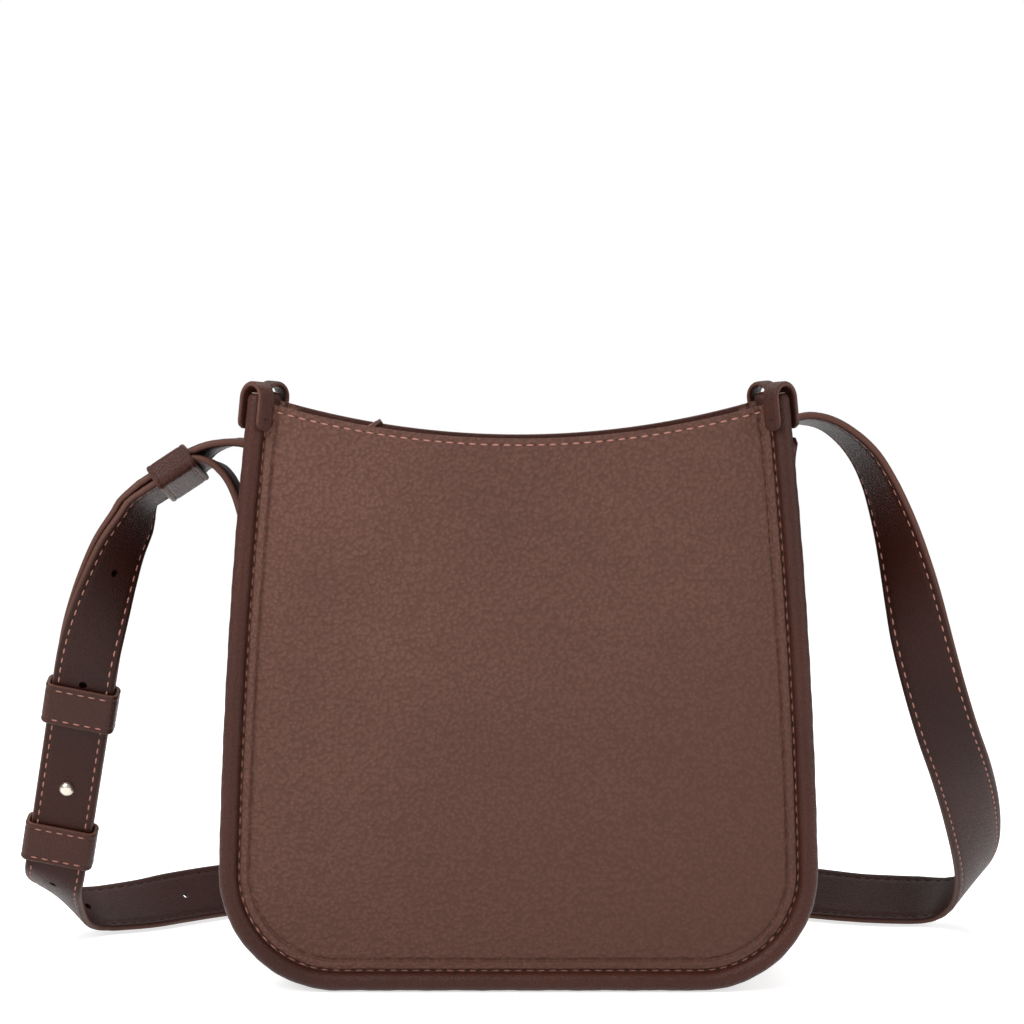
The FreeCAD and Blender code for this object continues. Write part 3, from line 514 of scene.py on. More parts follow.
def metal(name, colour, rough):
    material, n, shader = new_material(name, rough, metallic=1.0)
    where = n.add("ShaderNodeTexCoord").outputs["Object"]
    scuff = n.add("ShaderNodeTexNoise", {"Vector": where, "Scale": 900.0, "Detail": 4.0})
    tone = n.add("ShaderNodeTexNoise", {"Vector": where, "Scale": 90.0, "Detail": 2.0})
    dark = tuple(c * 0.8 for c in colour[:3]) + (1.0,)
    n.tree.links.new(n.mix(tone.outputs["Fac"], dark, colour), shader.inputs["Base Color"])
    spread = n.add("ShaderNodeMapRange", {"Value": scuff.outputs["Fac"], 3: rough - 0.06, 4: rough + 0.12})
    n.tree.links.new(spread.outputs[0], shader.inputs["Roughness"])
    return material


# EDGE is a painted highlight for the rounded edges of the strips, whose leather is the same colour
EDGE = srgb(100, 66, 55)
# the panel leather's last colour is painted shade, towards the base and the right side
panel_leather = leather("panel leather", srgb(110, 73, 61), srgb(97, 62, 51), EDGE, 620.0, 0.00110,
                        0.50, 0.30, painted_shade=srgb(84, 51, 40))
smooth_leather = leather("smooth leather", srgb(74, 37, 27), srgb(60, 28, 19), EDGE, 1500.0,
                         0.00020, 0.36, 0.24)
strap_leather = leather("strap leather", srgb(58, 26, 18), srgb(42, 17, 11), EDGE, 1700.0,
                        0.00012, 0.40, 0.20)
thread_pale = cloth("salmon thread", srgb(196, 142, 128), srgb(160, 108, 96), 9000.0, 0.00005)
thread_deep = cloth("dark thread", srgb(60, 36, 30), srgb(38, 22, 18), 9000.0, 0.00005)
# near-black dots that stand for the needle holes beside the stitches: painted shade in the holes
needle_hole_shade = cloth("needle hole shade", srgb(26, 15, 12), srgb(16, 9, 7), 3000.0, 0.00002)
lining_cloth = cloth("lining cloth", srgb(120, 92, 78), srgb(98, 72, 60), 5200.0, 0.00006)
tape_cloth = cloth("zip tape cloth", srgb(70, 46, 38), srgb(50, 32, 26), 5600.0, 0.0001)
foam_finish = cloth("foam", srgb(214, 206, 190), srgb(190, 182, 166), 2400.0, 0.0001)
cord_finish = cloth("cotton cord", srgb(222, 214, 196), srgb(190, 180, 160), 3400.0, 0.00012)
board_finish = cloth("fibre board", srgb(140, 116, 92), srgb(116, 94, 72), 1600.0, 0.00008)
nickel = metal("satin nickel", srgb(222, 212, 200), 0.30)

# ---- the bag's outline ----------------------------------------------------
side_x = BASE_HALF + CORNER_R * math.cos(SIDE_START)
side_z = CORNER_Z + CORNER_R * math.sin(SIDE_START)
reach_x, reach_z = TOP_HALF - side_x, EAR_Z - side_z
toward_x, toward_z = -math.cos(SIDE_START), -math.sin(SIDE_START)
SIDE_R = (reach_x ** 2 + reach_z ** 2) / (2.0 * (toward_x * reach_x + toward_z * reach_z))
SIDE_X, SIDE_Z = side_x + toward_x * SIDE_R, side_z + toward_z * SIDE_R
SIDE_END = math.atan2(EAR_Z - SIDE_Z, TOP_HALF - SIDE_X)
CORNER_L = CORNER_R * (math.pi / 2.0 + SIDE_START)
SIDE_L = SIDE_R * (SIDE_END - SIDE_START)
HALF_L = BASE_HALF + CORNER_L + SIDE_L


def outline(h, inset=0.0):
    """x, z on the seam's outline at signed distance h along it from the middle of the base."""
    a = np.abs(h)
    turn = -math.pi / 2.0 + (a - BASE_HALF) / CORNER_R
    lean = SIDE_START + (a - BASE_HALF - CORNER_L) / SIDE_R
    corner, side = CORNER_R - inset, SIDE_R - inset
    in_corner = a < BASE_HALF + CORNER_L
    x = np.where(in_corner, BASE_HALF + corner * np.cos(turn), SIDE_X + side * np.cos(lean))
    z = np.where(in_corner, CORNER_Z + corner * np.sin(turn), SIDE_Z + side * np.sin(lean))
    x, z = np.where(a < BASE_HALF, a, x), np.where(a < BASE_HALF, PIPE_R + inset, z)
    return np.sign(h) * x, z


def seam_distance(x, z):
    x = np.abs(x)
    corner = CORNER_R - np.hypot(np.maximum(x - BASE_HALF, 0.0), z - CORNER_Z)
    side = SIDE_R - np.hypot(x - SIDE_X, z - SIDE_Z)
    return np.where(z < CORNER_Z, corner, side)


def half_width(z, inset):
    r = CORNER_R - inset
    low = BASE_HALF + np.sqrt(np.clip(r * r - (CORNER_Z - z) ** 2, 0.0, None))
    high = SIDE_X + np.sqrt(np.clip((SIDE_R - inset) ** 2 - (z - SIDE_Z) ** 2, 0.0, None))
    return np.where(z < CORNER_Z, low, high)


def rim(x):
    return RIM_MID_Z + RIM_R - np.sqrt(RIM_R ** 2 - np.asarray(x) ** 2)


NOTCHES = [(-110.2, 39.6), (-105.8, 24.8), (-98.6, 14.8), (-87.8, 10.0),
           (109.4, 31.2), (101.8, 21.2), (90.2, 14.8)]


def panel_rise(x, z, back):
    """How far the panel's face stands proud of the flat pattern."""
    d = seam_distance(x, z)
    below = rim(x) - z
    body_x = 1.0 - np.clip(np.abs(x) / np.maximum(half_width(z, 8.0), 1.0), 0, 1) ** 2.6
    body_z = step(5.0, 75.0, z) * (1.0 - 0.72 * step(120.0, 0.0, below))
    rise = 4.0 * body_x * body_z
    rise = rise + 0.45 * np.sin(x * 0.043 + z * 0.027 + 1.3) * np.sin(z * 0.036 - x * 0.011 + back) * body_x
    ridge = step(4.5, 5.4, d) * (1.0 - step(7.6, 8.5, d))
    for nx, nz in NOTCHES if not back else ():
        near = np.hypot(x - nx, z - nz)
        ridge = ridge * (1.0 - 0.95 * np.exp(-(near / 1.7) ** 2))
    rise = rise + 1.05 * ridge
    rise = rise - 0.50 * np.exp(-((d - 8.7) / 0.55) ** 2)
    rise = rise - 0.45 * np.exp(-((d - 4.3) / 0.45) ** 2)
    rise = rise - 0.30 * np.exp(-((below - 2.6) / 0.55) ** 2)
    return rise


def panel_place(sign):
    def place(u, v):
        a = 2.0 * u - 1.0
        share = 0.85 * np.sin(a * math.pi / 2.0) + 0.15 * a
        t = v - 0.11 * np.sin(2.0 * math.pi * v)
        low = PIPE_R + PIPE_R + 0.05
        x = share * BASE_HALF
        for _ in range(8):
            z = low + t * (rim(x) - low)
            x = share * half_width(z, PIPE_R + 0.05)
        y = -(PANEL_Y + panel_rise(x, z, sign < 0))
        return np.stack([x, y * sign, z], 1)
    return place


# ---- stitches -------------------------------------------------------------
def one_stitch(length, thick):
    deselect()
    bpy.ops.mesh.primitive_uv_sphere_add(segments=8, ring_count=5, radius=1.0)
    ball = bpy.context.object
    points = get_points(ball)[:, [2, 0, 1]] * np.array([length / 2.0, thick, thick * 0.75])
    faces = [tuple(p.vertices) for p in ball.data.polygons]
    bpy.data.objects.remove(ball)
    return points, faces


def stitch_row(name, points, along, up, body, material, length=STITCH_L, thick=0.42, sink=0.05, slant=0.0):
    """One mesh with a stitch at every point."""
    base, faces = one_stitch(length, thick)
    along, up = unit(along), unit(up)
    side = unit(np.cross(up, along))
    along = unit(along + side * slant)
    side = unit(np.cross(up, along))
    centres = points - up * sink
    every = (centres[:, None, :] + along[:, None, :] * base[None, :, 0:1]
             + side[:, None, :] * base[None, :, 1:2] + up[:, None, :] * base[None, :, 2:3]).reshape(-1, 3)
    count = len(base)
    mesh = bpy.data.meshes.new(name)
    copies = [tuple(i + k * count for i in f) for k in range(len(points)) for f in faces]
    mesh.from_pydata((every * MM).tolist(), [], copies)
    piece = bpy.data.objects.new(name, mesh)
    bpy.context.scene.collection.objects.link(piece)
    edit(piece, ("normals_make_consistent", {"inside": False}))
    smooth(piece, 60.0)
    return finish(piece, body, "cord", material)


def every_pitch(points, pitch=STITCH_PITCH):
    """Positions along a polyline, one pitch apart, as fractional indices."""
    run = np.concatenate([[0.0], np.cumsum(np.linalg.norm(np.diff(points, axis=0), axis=1))])
    count = int(run[-1] // pitch)
    wanted = (run[-1] - (count - 1) * pitch) / 2.0 + np.arange(count) * pitch
    return np.interp(wanted, run, np.arange(len(points)))


def sample(values, at):
    k = np.clip(np.floor(at).astype(int), 0, len(values) - 2)
    t = (at - k)[:, None]
    return values[k] * (1.0 - t) + values[k + 1] * t


def sewn_line(name, points, up, body, material, holes=True, **kw):
    along = unit(np.gradient(points, axis=0))
    at = every_pitch(points)
    stitch_row(name, sample(points, at), sample(along, at), sample(up, at), body, material, **kw)
    if holes:
        # dark dots between the stitches: painted shade of the needle holes
        middle = (at[:-1] + at[1:]) / 2.0
        stitch_row(name + "_needle_hole_shading", *(sample(a, middle) for a in (points, along, up)), body,
                   needle_hole_shade, length=1.0, thick=0.36, sink=0.16)


# ---- panels, piping, gusset -----------------------------------------------
for side, sign in (("front", 1.0), ("back", -1.0)):
    panel = grid(side + "_panel_leather", 170, 200, panel_place(sign))
    wall(panel, lambda p, s=sign: np.array([[0.0, -s, 0.0]]), PANEL_T, rounding=0.35)
    finish(panel, "bag", "panel_leather", panel_leather, side + "_panel")

    h = np.linspace(-HALF_L + 8.0, HALF_L - 8.0, 420)
    x, z = outline(h, STITCH_INSET)
    keep = z < rim(x) - 2.0
    x, z = x[keep], z[keep]
    y = -(PANEL_Y + panel_rise(x, z, sign < 0)) * sign
    up = np.tile([0.0, -sign, 0.0], (len(x), 1))
    sewn_line(side + "_seam_stitches", np.stack([x, y, z], 1), up, "bag", thread_pale)

    x = np.linspace(-98.0, 98.0, 160)
    z = rim(x) - RIM_STITCH_DROP
    y = -(PANEL_Y + panel_rise(x, z, sign < 0)) * sign
    up = np.tile([0.0, -sign, 0.0], (len(x), 1))
    sewn_line(side + "_rim_stitches", np.stack([x, y, z], 1), up, "bag", thread_pale)

    h = np.linspace(-HALF_L, HALF_L, 520)
    x, z = outline(h)
    uneven = 1.0 + 0.018 * np.sin(h * 0.31) + 0.012 * np.sin(h * 0.83 + 1.0)
    taper = 0.55 + 0.45 * np.sqrt(np.clip((HALF_L - np.abs(h)) / 2.2, 0.0, 1.0))
    path = np.stack([x, np.full_like(x, -SEAM_Y * sign), z], 1)
    pipe = tube(side + "_piping_leather", path, (PIPE_R - 0.03) * uneven * taper, 10)
    finish(pipe, "bag", "smooth_leather", smooth_leather, side + "_piping")

    core = tube(side + "_cord", path, (PIPE_CORE_R - 0.05) * (1.0 + 0.05 * np.sin(h * 2.2)), 4)
    finish(core, "bag", "cord", cord_finish, side + "_piping_cord")

    def facing_place(u, v, s=sign):
        x = (2.0 * u - 1.0) * 97.0
        z = rim(x) - 0.15 - v * 26.5
        x = (2.0 * u - 1.0) * (half_width(z, 12.0))
        z = rim(x) - 0.15 - v * FACING_H
        y = -37.3 - 0.12 * np.sin(x * 0.2)
        return np.stack([x, y * s, z], 1)

    facing = grid(side + "_facing_leather", 120, 20, facing_place)
    wall(facing, lambda p, s=sign: np.array([[0.0, -s, 0.0]]), 1.45, rounding=0.3)
    finish(facing, "bag", "smooth_leather", smooth_leather, side + "_top_facing")


def three_point_circle(a, b, c):
    (ax, az), (bx, bz), (cx, cz) = a, b, c
    d = 2.0 * (ax * (bz - cz) + bx * (cz - az) + cx * (az - bz))
    aa, bb, cc = ax ** 2 + az ** 2, bx ** 2 + bz ** 2, cx ** 2 + cz ** 2
    ux = (aa * (bz - cz) + bb * (cz - az) + cc * (az - bz)) / d
    uz = (aa * (cx - bx) + bb * (ax - cx) + cc * (bx - ax)) / d
    return ux, uz, math.hypot(ax - ux, az - uz)


LOW_BOW = three_point_circle((116.5, 43.5), (113.02, 94.25), (102.0, 145.0))
HIGH_BOW = three_point_circle((102.0, 145.0), (93.6, 188.45), (90.0, 224.0))


def crease_half(z):
    """Half-width of the gusset's middle line above the corner."""
    def on(circle, z):
        cx, cz, r = circle
        side = 1.0 if cx < 100.0 else -1.0
        return cx + side * np.sqrt(np.clip(r * r - (z - cz) ** 2, 0.0, None))
    return np.where(z < 145.0, on(LOW_BOW, z), on(HIGH_BOW, z))


def gusset_place(u, v):
    h = (2.0 * u - 1.0) * HALF_L
    t = 2.0 * v - 1.0
    a = np.abs(h)
    edge_x, edge_z = outline(h, 1.6)
    edge_z = np.minimum(edge_z, 235.0)
    turn = -math.pi / 2.0 + np.clip((a - BASE_HALF) / CORNER_L, 0.0, 1.0) * math.pi / 2.0
    up = np.clip((a - BASE_HALF - CORNER_L) / SIDE_L, 0.0, 1.0)
    mid_z = np.where(a < BASE_HALF, 0.0, np.where(a < BASE_HALF + CORNER_L, 43.5 + 43.5 * np.sin(turn),
                                                  43.5 + up * (224.0 - 43.5)))
    mid_x = np.where(a < BASE_HALF, a, np.where(a < BASE_HALF + CORNER_L, 73.0 + 43.5 * np.cos(turn),
                                                crease_half(mid_z)))
    mid_x = np.sign(h) * mid_x
    flat = np.clip(1.0 - a / (BASE_HALF + CORNER_L), 0.0, 1.0)
    share = np.abs(t) ** (2.2 + 3.0 * step(0.0, 0.6, flat))
    x = mid_x * (1.0 - share) + edge_x * share
    z = mid_z * (1.0 - share) + edge_z * share
    pucker = 0.25 * np.sin(h * 0.55) * np.exp(-((np.abs(t) - 0.93) / 0.06) ** 2)
    z = np.maximum(z + pucker * (1.0 - flat), 0.05)
    return np.stack([x, t * 35.6, z], 1)


gusset = grid("gusset_leather", 300, 56, gusset_place)
wall(gusset, lambda p: np.stack([p[:, 0], 0 * p[:, 0], p[:, 2] - 0.1], 1), 1.7, rounding=0.3)
finish(gusset, "bag", "smooth_leather", smooth_leather, "gusset")


# ---- ear tabs -------------------------------------------------------------
def ear_tab(name, x_side, y_side, node):
    """Strip bent over the piping's end, at 45 degrees between the panel and the gusset."""
    r = 4.6 + 1.1
    top = EAR_Z + 4.6 - 6.8
    leg = np.linspace(-12.5, 0.0, 12)
    bend = np.linspace(0.0, math.pi, 22)[1:-1]
    p = np.concatenate([np.stack([np.full(12, -r), leg], 1),
                        np.stack([-r * np.cos(bend), r * np.sin(bend)], 1),
                        np.stack([np.full(12, r), leg[::-1]], 1)])
    n = np.concatenate([np.tile([-1.0, 0.0], (12, 1)), np.stack([-np.cos(bend), np.sin(bend)], 1),
                        np.tile([1.0, 0.0], (12, 1))])
    lean = math.radians(5.5)

    def to_world(a, shift):
        c = math.cos(math.radians(-45.0))
        s = math.sin(math.radians(-45.0))
        x, y, z = a[:, 0] * c - a[:, 1] * s, a[:, 0] * s + a[:, 1] * c, a[:, 2]
        z = z - (EAR_Z if shift else 0.0)
        x, z = x * math.cos(lean) + z * math.sin(lean), -x * math.sin(lean) + z * math.cos(lean)
        if shift:
            x, y, z = x - TOP_HALF - 0.2, y - SEAM_Y, z + EAR_Z
        return np.stack([x * x_side, y * y_side, z], 1)

    count = len(p)
    points = to_world(np.stack([p[:, 0], np.zeros(count), top + p[:, 1]], 1), True)
    normal = to_world(np.stack([n[:, 0], np.zeros(count), n[:, 1]], 1), False)
    across = to_world(np.tile([0.0, 1.0, 0.0], (count, 1)), False)
    profile = leather_profile(3.85, 1.08, 28, belly=0.05, ends=3.2, length=43.0)
    tab = strip(name, points, across, normal, profile)
    finish(tab, "bag", "smooth_leather", smooth_leather, node)
    at = points[[4, len(points) - 5]]
    stitch_row(name + "_tack", at + normal[[4, -5]] * 1.08, across[[4, -5]], normal[[4, -5]], "bag",
               thread_deep, length=3.4, thick=0.5)


for y_name, y_side in (("front", 1.0), ("back", -1.0)):
    for x_name, x_side in (("left", 1.0), ("right", -1.0)):
        ear_tab("ear_%s_%s" % (y_name, x_name), x_side, y_side, "ear_tab_%s_%s" % (y_name, x_name))


# ---- strap ----------------------------------------------------------------
def station_frames():
    points, across = np.hsplit(np.array(ROUTE, float), 2)
    before = np.vstack([points[:1], points[:-1]])
    after = np.vstack([points[1:], points[-1:]])
    into, out = points - before, after - points
    into[0], out[-1] = out[0], into[-1]
    travel = unit(unit(into) + unit(out))
    across = unit(across - travel * (across * travel).sum(1, keepdims=True))
    for first in (LOW_STRAIGHT, UPPER_STRAIGHT):
        line = unit(points[first + 1] - points[first])
        mean = across[first] + across[first + 1]
        mean = unit(mean - line * mean.dot(line))
        for k in (first, first + 1):
            travel[k], across[k] = line, mean
    return points, travel, across, np.cross(travel, across)


S_POINT, S_TRAVEL, S_ACROSS, S_NORMAL = station_frames()


def on_straight(first, share, offset=0.0):
    p = S_POINT[first] + (S_POINT[first + 1] - S_POINT[first]) * share + S_NORMAL[first] * offset
    return p, S_TRAVEL[first], S_ACROSS[first], S_NORMAL[first]


def smooth_run(points, across, spacing=2.2):
    """Catmull-Rom through the stations, with straight stretches kept straight."""
    run_p, run_a = [], []
    for k in range(len(points) - 1):
        p0, p1, p2, p3 = (points[min(max(i, 0), len(points) - 1)] for i in (k - 1, k, k + 1, k + 2))
        span = np.linalg.norm(p2 - p1)
        count = max(2, int(round(span / spacing)))
        t = (np.arange(count) / count)[:, None]
        m1 = (p2 - p0) / max(np.linalg.norm(p2 - p1) + np.linalg.norm(p1 - p0), 1e-9) * span
        m2 = (p3 - p1) / max(np.linalg.norm(p3 - p2) + np.linalg.norm(p2 - p1), 1e-9) * span
        curve = ((2 * t ** 3 - 3 * t ** 2 + 1) * p1 + (t ** 3 - 2 * t ** 2 + t) * m1
                 + (-2 * t ** 3 + 3 * t ** 2) * p2 + (t ** 3 - t ** 2) * m2)
        run_p.append(curve)
        run_a.append(across[k] * (1 - t) + across[k + 1] * t)
    run_p.append(points[-1:])
    run_a.append(across[-1:])
    p = np.vstack(run_p)
    a = np.vstack(run_a)
    travel = unit(np.gradient(p, axis=0))
    a = unit(a - travel * (a * travel).sum(1, keepdims=True))
    return p, travel, a, np.cross(travel, a)


def with_straights(points, across, spans):
    """Extra stations inside straight stretches hold them straight."""
    p, a = [], []
    for k in range(len(points)):
        p.append(points[k])
        a.append(across[k])
        if k in spans and k + 1 < len(points):
            for share in np.arange(0.1, 0.95, 0.1):
                p.append(points[k] + (points[k + 1] - points[k]) * share)
                a.append(across[k])
    return np.array(p), np.array(a)


LAYER = STRAP_T + LAYER_GAP
back_points = [S_POINT[k] + S_NORMAL[k] * LAYER for k in range(UPPER_STRAIGHT + 1, LOW_STRAIGHT, -1)]
back_across = [S_ACROSS[k] for k in range(UPPER_STRAIGHT + 1, LOW_STRAIGHT, -1)]
tip = on_straight(LOW_STRAIGHT, 0.03, LAYER)
main_points, main_across = with_straights(S_POINT, S_ACROSS, (LOW_STRAIGHT, UPPER_STRAIGHT))
spans_back = (0, len(back_points) - 1)
back_points, back_across = with_straights(np.array(back_points + [tip[0]]), np.array(back_across + [tip[2]]),
                                          spans_back)
whole_p = np.vstack([main_points, back_points])
whole_a = np.vstack([main_across, back_across])
strap_p, _, strap_a, strap_n = smooth_run(whole_p, whole_a)
strap_length = float(np.linalg.norm(np.diff(strap_p, axis=0), axis=1).sum())

strap_profile = leather_profile(STRAP_W / 2.0, STRAP_T / 2.0, 48, groove_at=(STRAP_STITCH_AT,), groove=0.3,
                                ends=5.0,
                                length=strap_length)
strap = strip("shoulder_strap_leather", strap_p, strap_a, strap_n, strap_profile)


def punch(place, normal, radius, reach):
    deselect()
    bpy.ops.mesh.primitive_cylinder_add(vertices=24, radius=radius * MM, depth=2.0 * reach * MM)
    cutter = bpy.context.object
    z = unit(normal)
    x = unit(np.cross(z, [0.3, 0.5, 0.8]))
    y = np.cross(z, x)
    co = get_points(cutter)
    set_points(cutter, co[:, :1] * x + co[:, 1:2] * y + co[:, 2:] * z + np.asarray(place) * MM)
    return cutter


def spare_holes():
    stud = on_straight(LOW_STRAIGHT, STUD_AT)[0]
    holes = []
    for way, count in ((-1, 3), (1, 2)):
        index = LOW_STRAIGHT if way < 0 else LOW_STRAIGHT + 1
        travelled, previous, wanted = 0.0, stud, HOLE_PITCH
        found = 0
        while found < count:
            span = np.linalg.norm(S_POINT[index] - previous)
            while travelled + span >= wanted and found < count:
                share = (wanted - travelled) / span
                holes.append((previous + (S_POINT[index] - previous) * share, S_NORMAL[index]))
                wanted += HOLE_PITCH
                found += 1
            travelled += span
            previous = S_POINT[index]
            index += way
    return holes


for place, normal in spare_holes():
    cutter = punch(place, normal, HOLE_R, LAYER / 2.0)
    modifier(strap, "BOOLEAN", operation="DIFFERENCE", object=cutter, solver="EXACT")
    bpy.data.objects.remove(cutter)
smooth(strap)
finish(strap, "strap", "smooth_leather", strap_leather, "shoulder_strap")

inside = slice(6, len(strap_p) - 6)
for row, w in (("a", STRAP_STITCH_AT), ("b", -STRAP_STITCH_AT)):
    for face, way, thread in (("near", -1.0, thread_pale), ("far", 1.0, thread_deep)):
        line = strap_p[inside] + strap_a[inside] * w + strap_n[inside] * way * (STRAP_T / 2.0 - 0.28)
        sewn_line("strap_stitches_%s_%s" % (face, row), line, strap_n[inside] * way, "strap", thread,
                  holes=False, thick=0.38, sink=-0.05)


# ---- keepers --------------------------------------------------------------
def keeper(name, first, share):
    mid = LAYER / 2.0
    place, travel, across, normal = on_straight(first, share, mid)
    half_w, half_t, r = 14.35, 4.70, 2.4
    corners = ((1, 1, 0.0), (-1, 1, 90.0), (-1, -1, 180.0), (1, -1, 270.0))
    loop, out = [], []
    for sw, sn, start in corners:
        for deg in np.linspace(start, start + 90.0, 9):
            c, s = math.cos(math.radians(deg)), math.sin(math.radians(deg))
            loop.append((sw * (half_w - r) + r * c, sn * (half_t - r) + r * s))
            out.append((c, s))
        # flat run to the next corner
        nw, nn, _ = corners[(corners.index((sw, sn, start)) + 1) % 4]
        here = np.array(loop[-1])
        c, s = out[-1]
        there = np.array((nw * (half_w - r) + r * c, nn * (half_t - r) + r * s))
        count = 12 if sw != nw else 3
        for t in np.linspace(0.0, 1.0, count + 2)[1:-1]:
            loop.append(tuple(here + (there - here) * t))
            out.append((c, s))
    loop, out = np.array(loop), np.array(out)
    keep = [0] + [k for k in range(1, len(loop)) if np.linalg.norm(loop[k] - loop[k - 1]) > 1e-4]
    loop, out = loop[keep], out[keep]
    points = place + loop[:, :1] * across + loop[:, 1:] * normal
    outward = out[:, :1] * across + out[:, 1:] * normal
    lengthwise = np.tile(travel, (len(points), 1))
    profile = leather_profile(9.2, 0.95, 40, groove_at=(KEEPER_STITCH_AT,), groove=0.25, roll=0.10)
    piece = strip("keeper_%s_leather" % name, points, lengthwise, outward, profile, closed=True)
    body = "keeper_%s_body" % name
    finish(piece, body, "smooth_leather", smooth_leather, "keeper_" + name)
    for row, w in (("a", KEEPER_STITCH_AT), ("b", -KEEPER_STITCH_AT)):
        line = points + lengthwise * w + outward * 0.72
        line, up = np.vstack([line, line[:1]]), np.vstack([outward, outward[:1]])
        flat = np.abs(up @ normal) > 0.9
        for face, way in (("near", -1.0), ("far", 1.0)):
            chosen = flat & ((up @ normal) * way > 0)
            run = line[chosen]
            order = np.argsort(run @ across)
            sewn_line("keeper_%s_stitches_%s_%s" % (name, face, row), run[order], up[chosen][order], body,
                      thread_pale, holes=False, thick=0.38, sink=-0.05)


for keeper_name, first, share in KEEPERS:
    keeper(keeper_name, first, share)


# ---- ring tabs ------------------------------------------------------------
for tab_name, sx in (("left", -1.0), ("right", 1.0)):
    z = np.linspace(183.0, 217.0, 24)
    # the lower end is skived thin, so that the ring's bar passes it as the strap swings up
    skive = step(183.0, 198.0, z)
    points = np.stack([sx * (crease_half(z) + 0.45 + 0.55 * skive), np.zeros(24), z], 1)
    slope = unit(np.gradient(points, axis=0))
    across = np.tile([0.0, 1.0, 0.0], (24, 1))
    foot_profile = leather_profile(10.8, 0.72, 32, groove_at=(TAB_STITCH_AT,), groove=0.15, ends=2.0,
                                   length=34.0)

    def skived_profile(u, v, even=foot_profile, skive=skive):
        w, n = even(u, v)
        return w, n * (0.46 + 0.54 * skive[np.rint(v * 23).astype(int)])

    skived_profile.columns = 32
    foot = strip("ring_tab_foot_" + tab_name, points, across, np.cross(slope, across) * -sx, skived_profile)
    finish(foot, "bag", "smooth_leather", smooth_leather, "ring_tab_" + tab_name)
    for row, w in (("a", TAB_STITCH_AT), ("b", -TAB_STITCH_AT)):
        up = np.cross(slope, across) * -sx
        up = up * np.sign(up[:, :1] * sx)
        line = points + across * w + up * (0.30 + 0.32 * skive)[:, None]
        sewn_line("ring_tab_stitches_%s_%s" % (tab_name, row), line[2:-2], up[2:-2], "bag", thread_pale,
                  holes=False, thick=0.36, sink=-0.05)
    inner_x = crease_half(np.array([RING_Z]))[0] + 1.9
    r = 1.7 + 0.8
    bend = np.linspace(-math.pi / 2.0, math.pi / 2.0, 20)
    straight = np.linspace(inner_x, RING_IN_X, 6)[:-1]
    x = np.concatenate([straight, RING_IN_X + r * np.cos(bend), straight[::-1]])
    zz = np.concatenate([np.full(5, -r), r * np.sin(bend), np.full(5, r)])
    nx = np.concatenate([np.zeros(5), np.cos(bend), np.zeros(5)])
    nz = np.concatenate([np.full(5, -1.0), np.sin(bend), np.full(5, 1.0)])
    count = len(x)
    loop = strip("ring_tab_loop_" + tab_name, np.stack([sx * x, np.zeros(count), RING_Z + zz], 1),
                 np.tile([0.0, 1.0, 0.0], (count, 1)), np.stack([sx * nx, np.zeros(count), nz], 1),
                 leather_profile(10.8, 0.76, 32))
    loop.data.materials.clear()
    loop.data.materials.append(smooth_leather)
    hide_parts("ring_tab_" + tab_name)
    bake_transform(loop)


# ---- zip ------------------------------------------------------------------
def soft_copy(node, name, cut_length, wander, slot, material, body="bag"):
    """A pliable copy of a hidden fabric piece: its long faces are divided and eased by a slow wave."""
    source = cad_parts[node]
    piece = source.copy()
    piece.data = source.data.copy()
    piece.parent = None
    for key in list(piece.keys()):
        del piece[key]
    piece.name = name
    bpy.context.scene.collection.objects.link(piece)
    edit(piece, ("remove_doubles", {"threshold": 1e-6}), ("tris_convert_to_quads", {}))
    for _ in range(4):
        only(piece)
        bpy.ops.object.mode_set(mode="EDIT")
        bpy.ops.mesh.select_all(action="DESELECT")
        bpy.ops.mesh.select_mode(type="EDGE")
        bpy.ops.object.mode_set(mode="OBJECT")
        co = get_points(piece)
        pairs = np.empty(len(piece.data.edges) * 2, int)
        piece.data.edges.foreach_get("vertices", pairs)
        pairs = pairs.reshape(-1, 2)
        long = np.linalg.norm(co[pairs[:, 0]] - co[pairs[:, 1]], axis=1) > cut_length * MM
        if not long.any():
            break
        piece.data.edges.foreach_set("select", long)
        bpy.ops.object.mode_set(mode="EDIT")
        bpy.ops.mesh.subdivide(number_cuts=1)
        bpy.ops.object.mode_set(mode="OBJECT")
    co = get_points(piece) / MM
    wave = np.stack([np.sin(co[:, 2] * 0.11 + co[:, 1] * 0.05), np.sin(co[:, 0] * 0.09 + co[:, 2] * 0.07),
                     0.4 * np.sin(co[:, 0] * 0.12)], 1) * wander
    set_points(piece, (co + wave) * MM)
    smooth(piece)
    return finish(piece, body, slot, material, node)


for side, sign in (("front", 1.0), ("back", -1.0)):
    y = np.linspace(-35.7, -7.2, 24)
    low = ZIP_Z + 0.5 + 0.75
    along = np.stack([np.zeros(24), y * sign, low + 0.35 * np.sin((y + 35.7) / 28.5 * math.pi)], 1)
    over = np.tile([1.0, 0.0, 0.0], (24, 1))
    up = np.tile([0.0, 0.0, 1.0], (24, 1))
    cover = strip(side + "_zip_panel_leather", along, over, up,
                  leather_profile(87.9, 0.72, 120, ends=1.2, length=28.5))
    finish(cover, "bag", "smooth_leather", smooth_leather, side + "_zip_panel")
    x = np.linspace(-84.0, 84.0, 60)
    line = np.stack([x, np.full(60, -9.4 * sign), np.full(60, low + 0.85)], 1)
    sewn_line(side + "_zip_panel_stitches", line, np.tile([0.0, 0.0, 1.0], (60, 1)), "bag", thread_pale,
              holes=False, thick=0.36)
    soft_copy(side + "_zip_tape", side + "_zip_tape_cloth", 6.0, 0.04, "tape_fabric", tape_cloth)
    pad = soft_copy(side + "_interlining", side + "_foam", 8.0, 0.02, "foam", foam_finish)
soft_copy("lining", "lining_cloth", 8.0, 0.05, "lining_fabric", lining_cloth)
soft_copy("slip_pocket", "slip_pocket_cloth", 6.0, 0.02, "lining_fabric", lining_cloth)
soft_copy("base_board", "base_board_fibre", 20.0, 0.0, "board", board_finish)

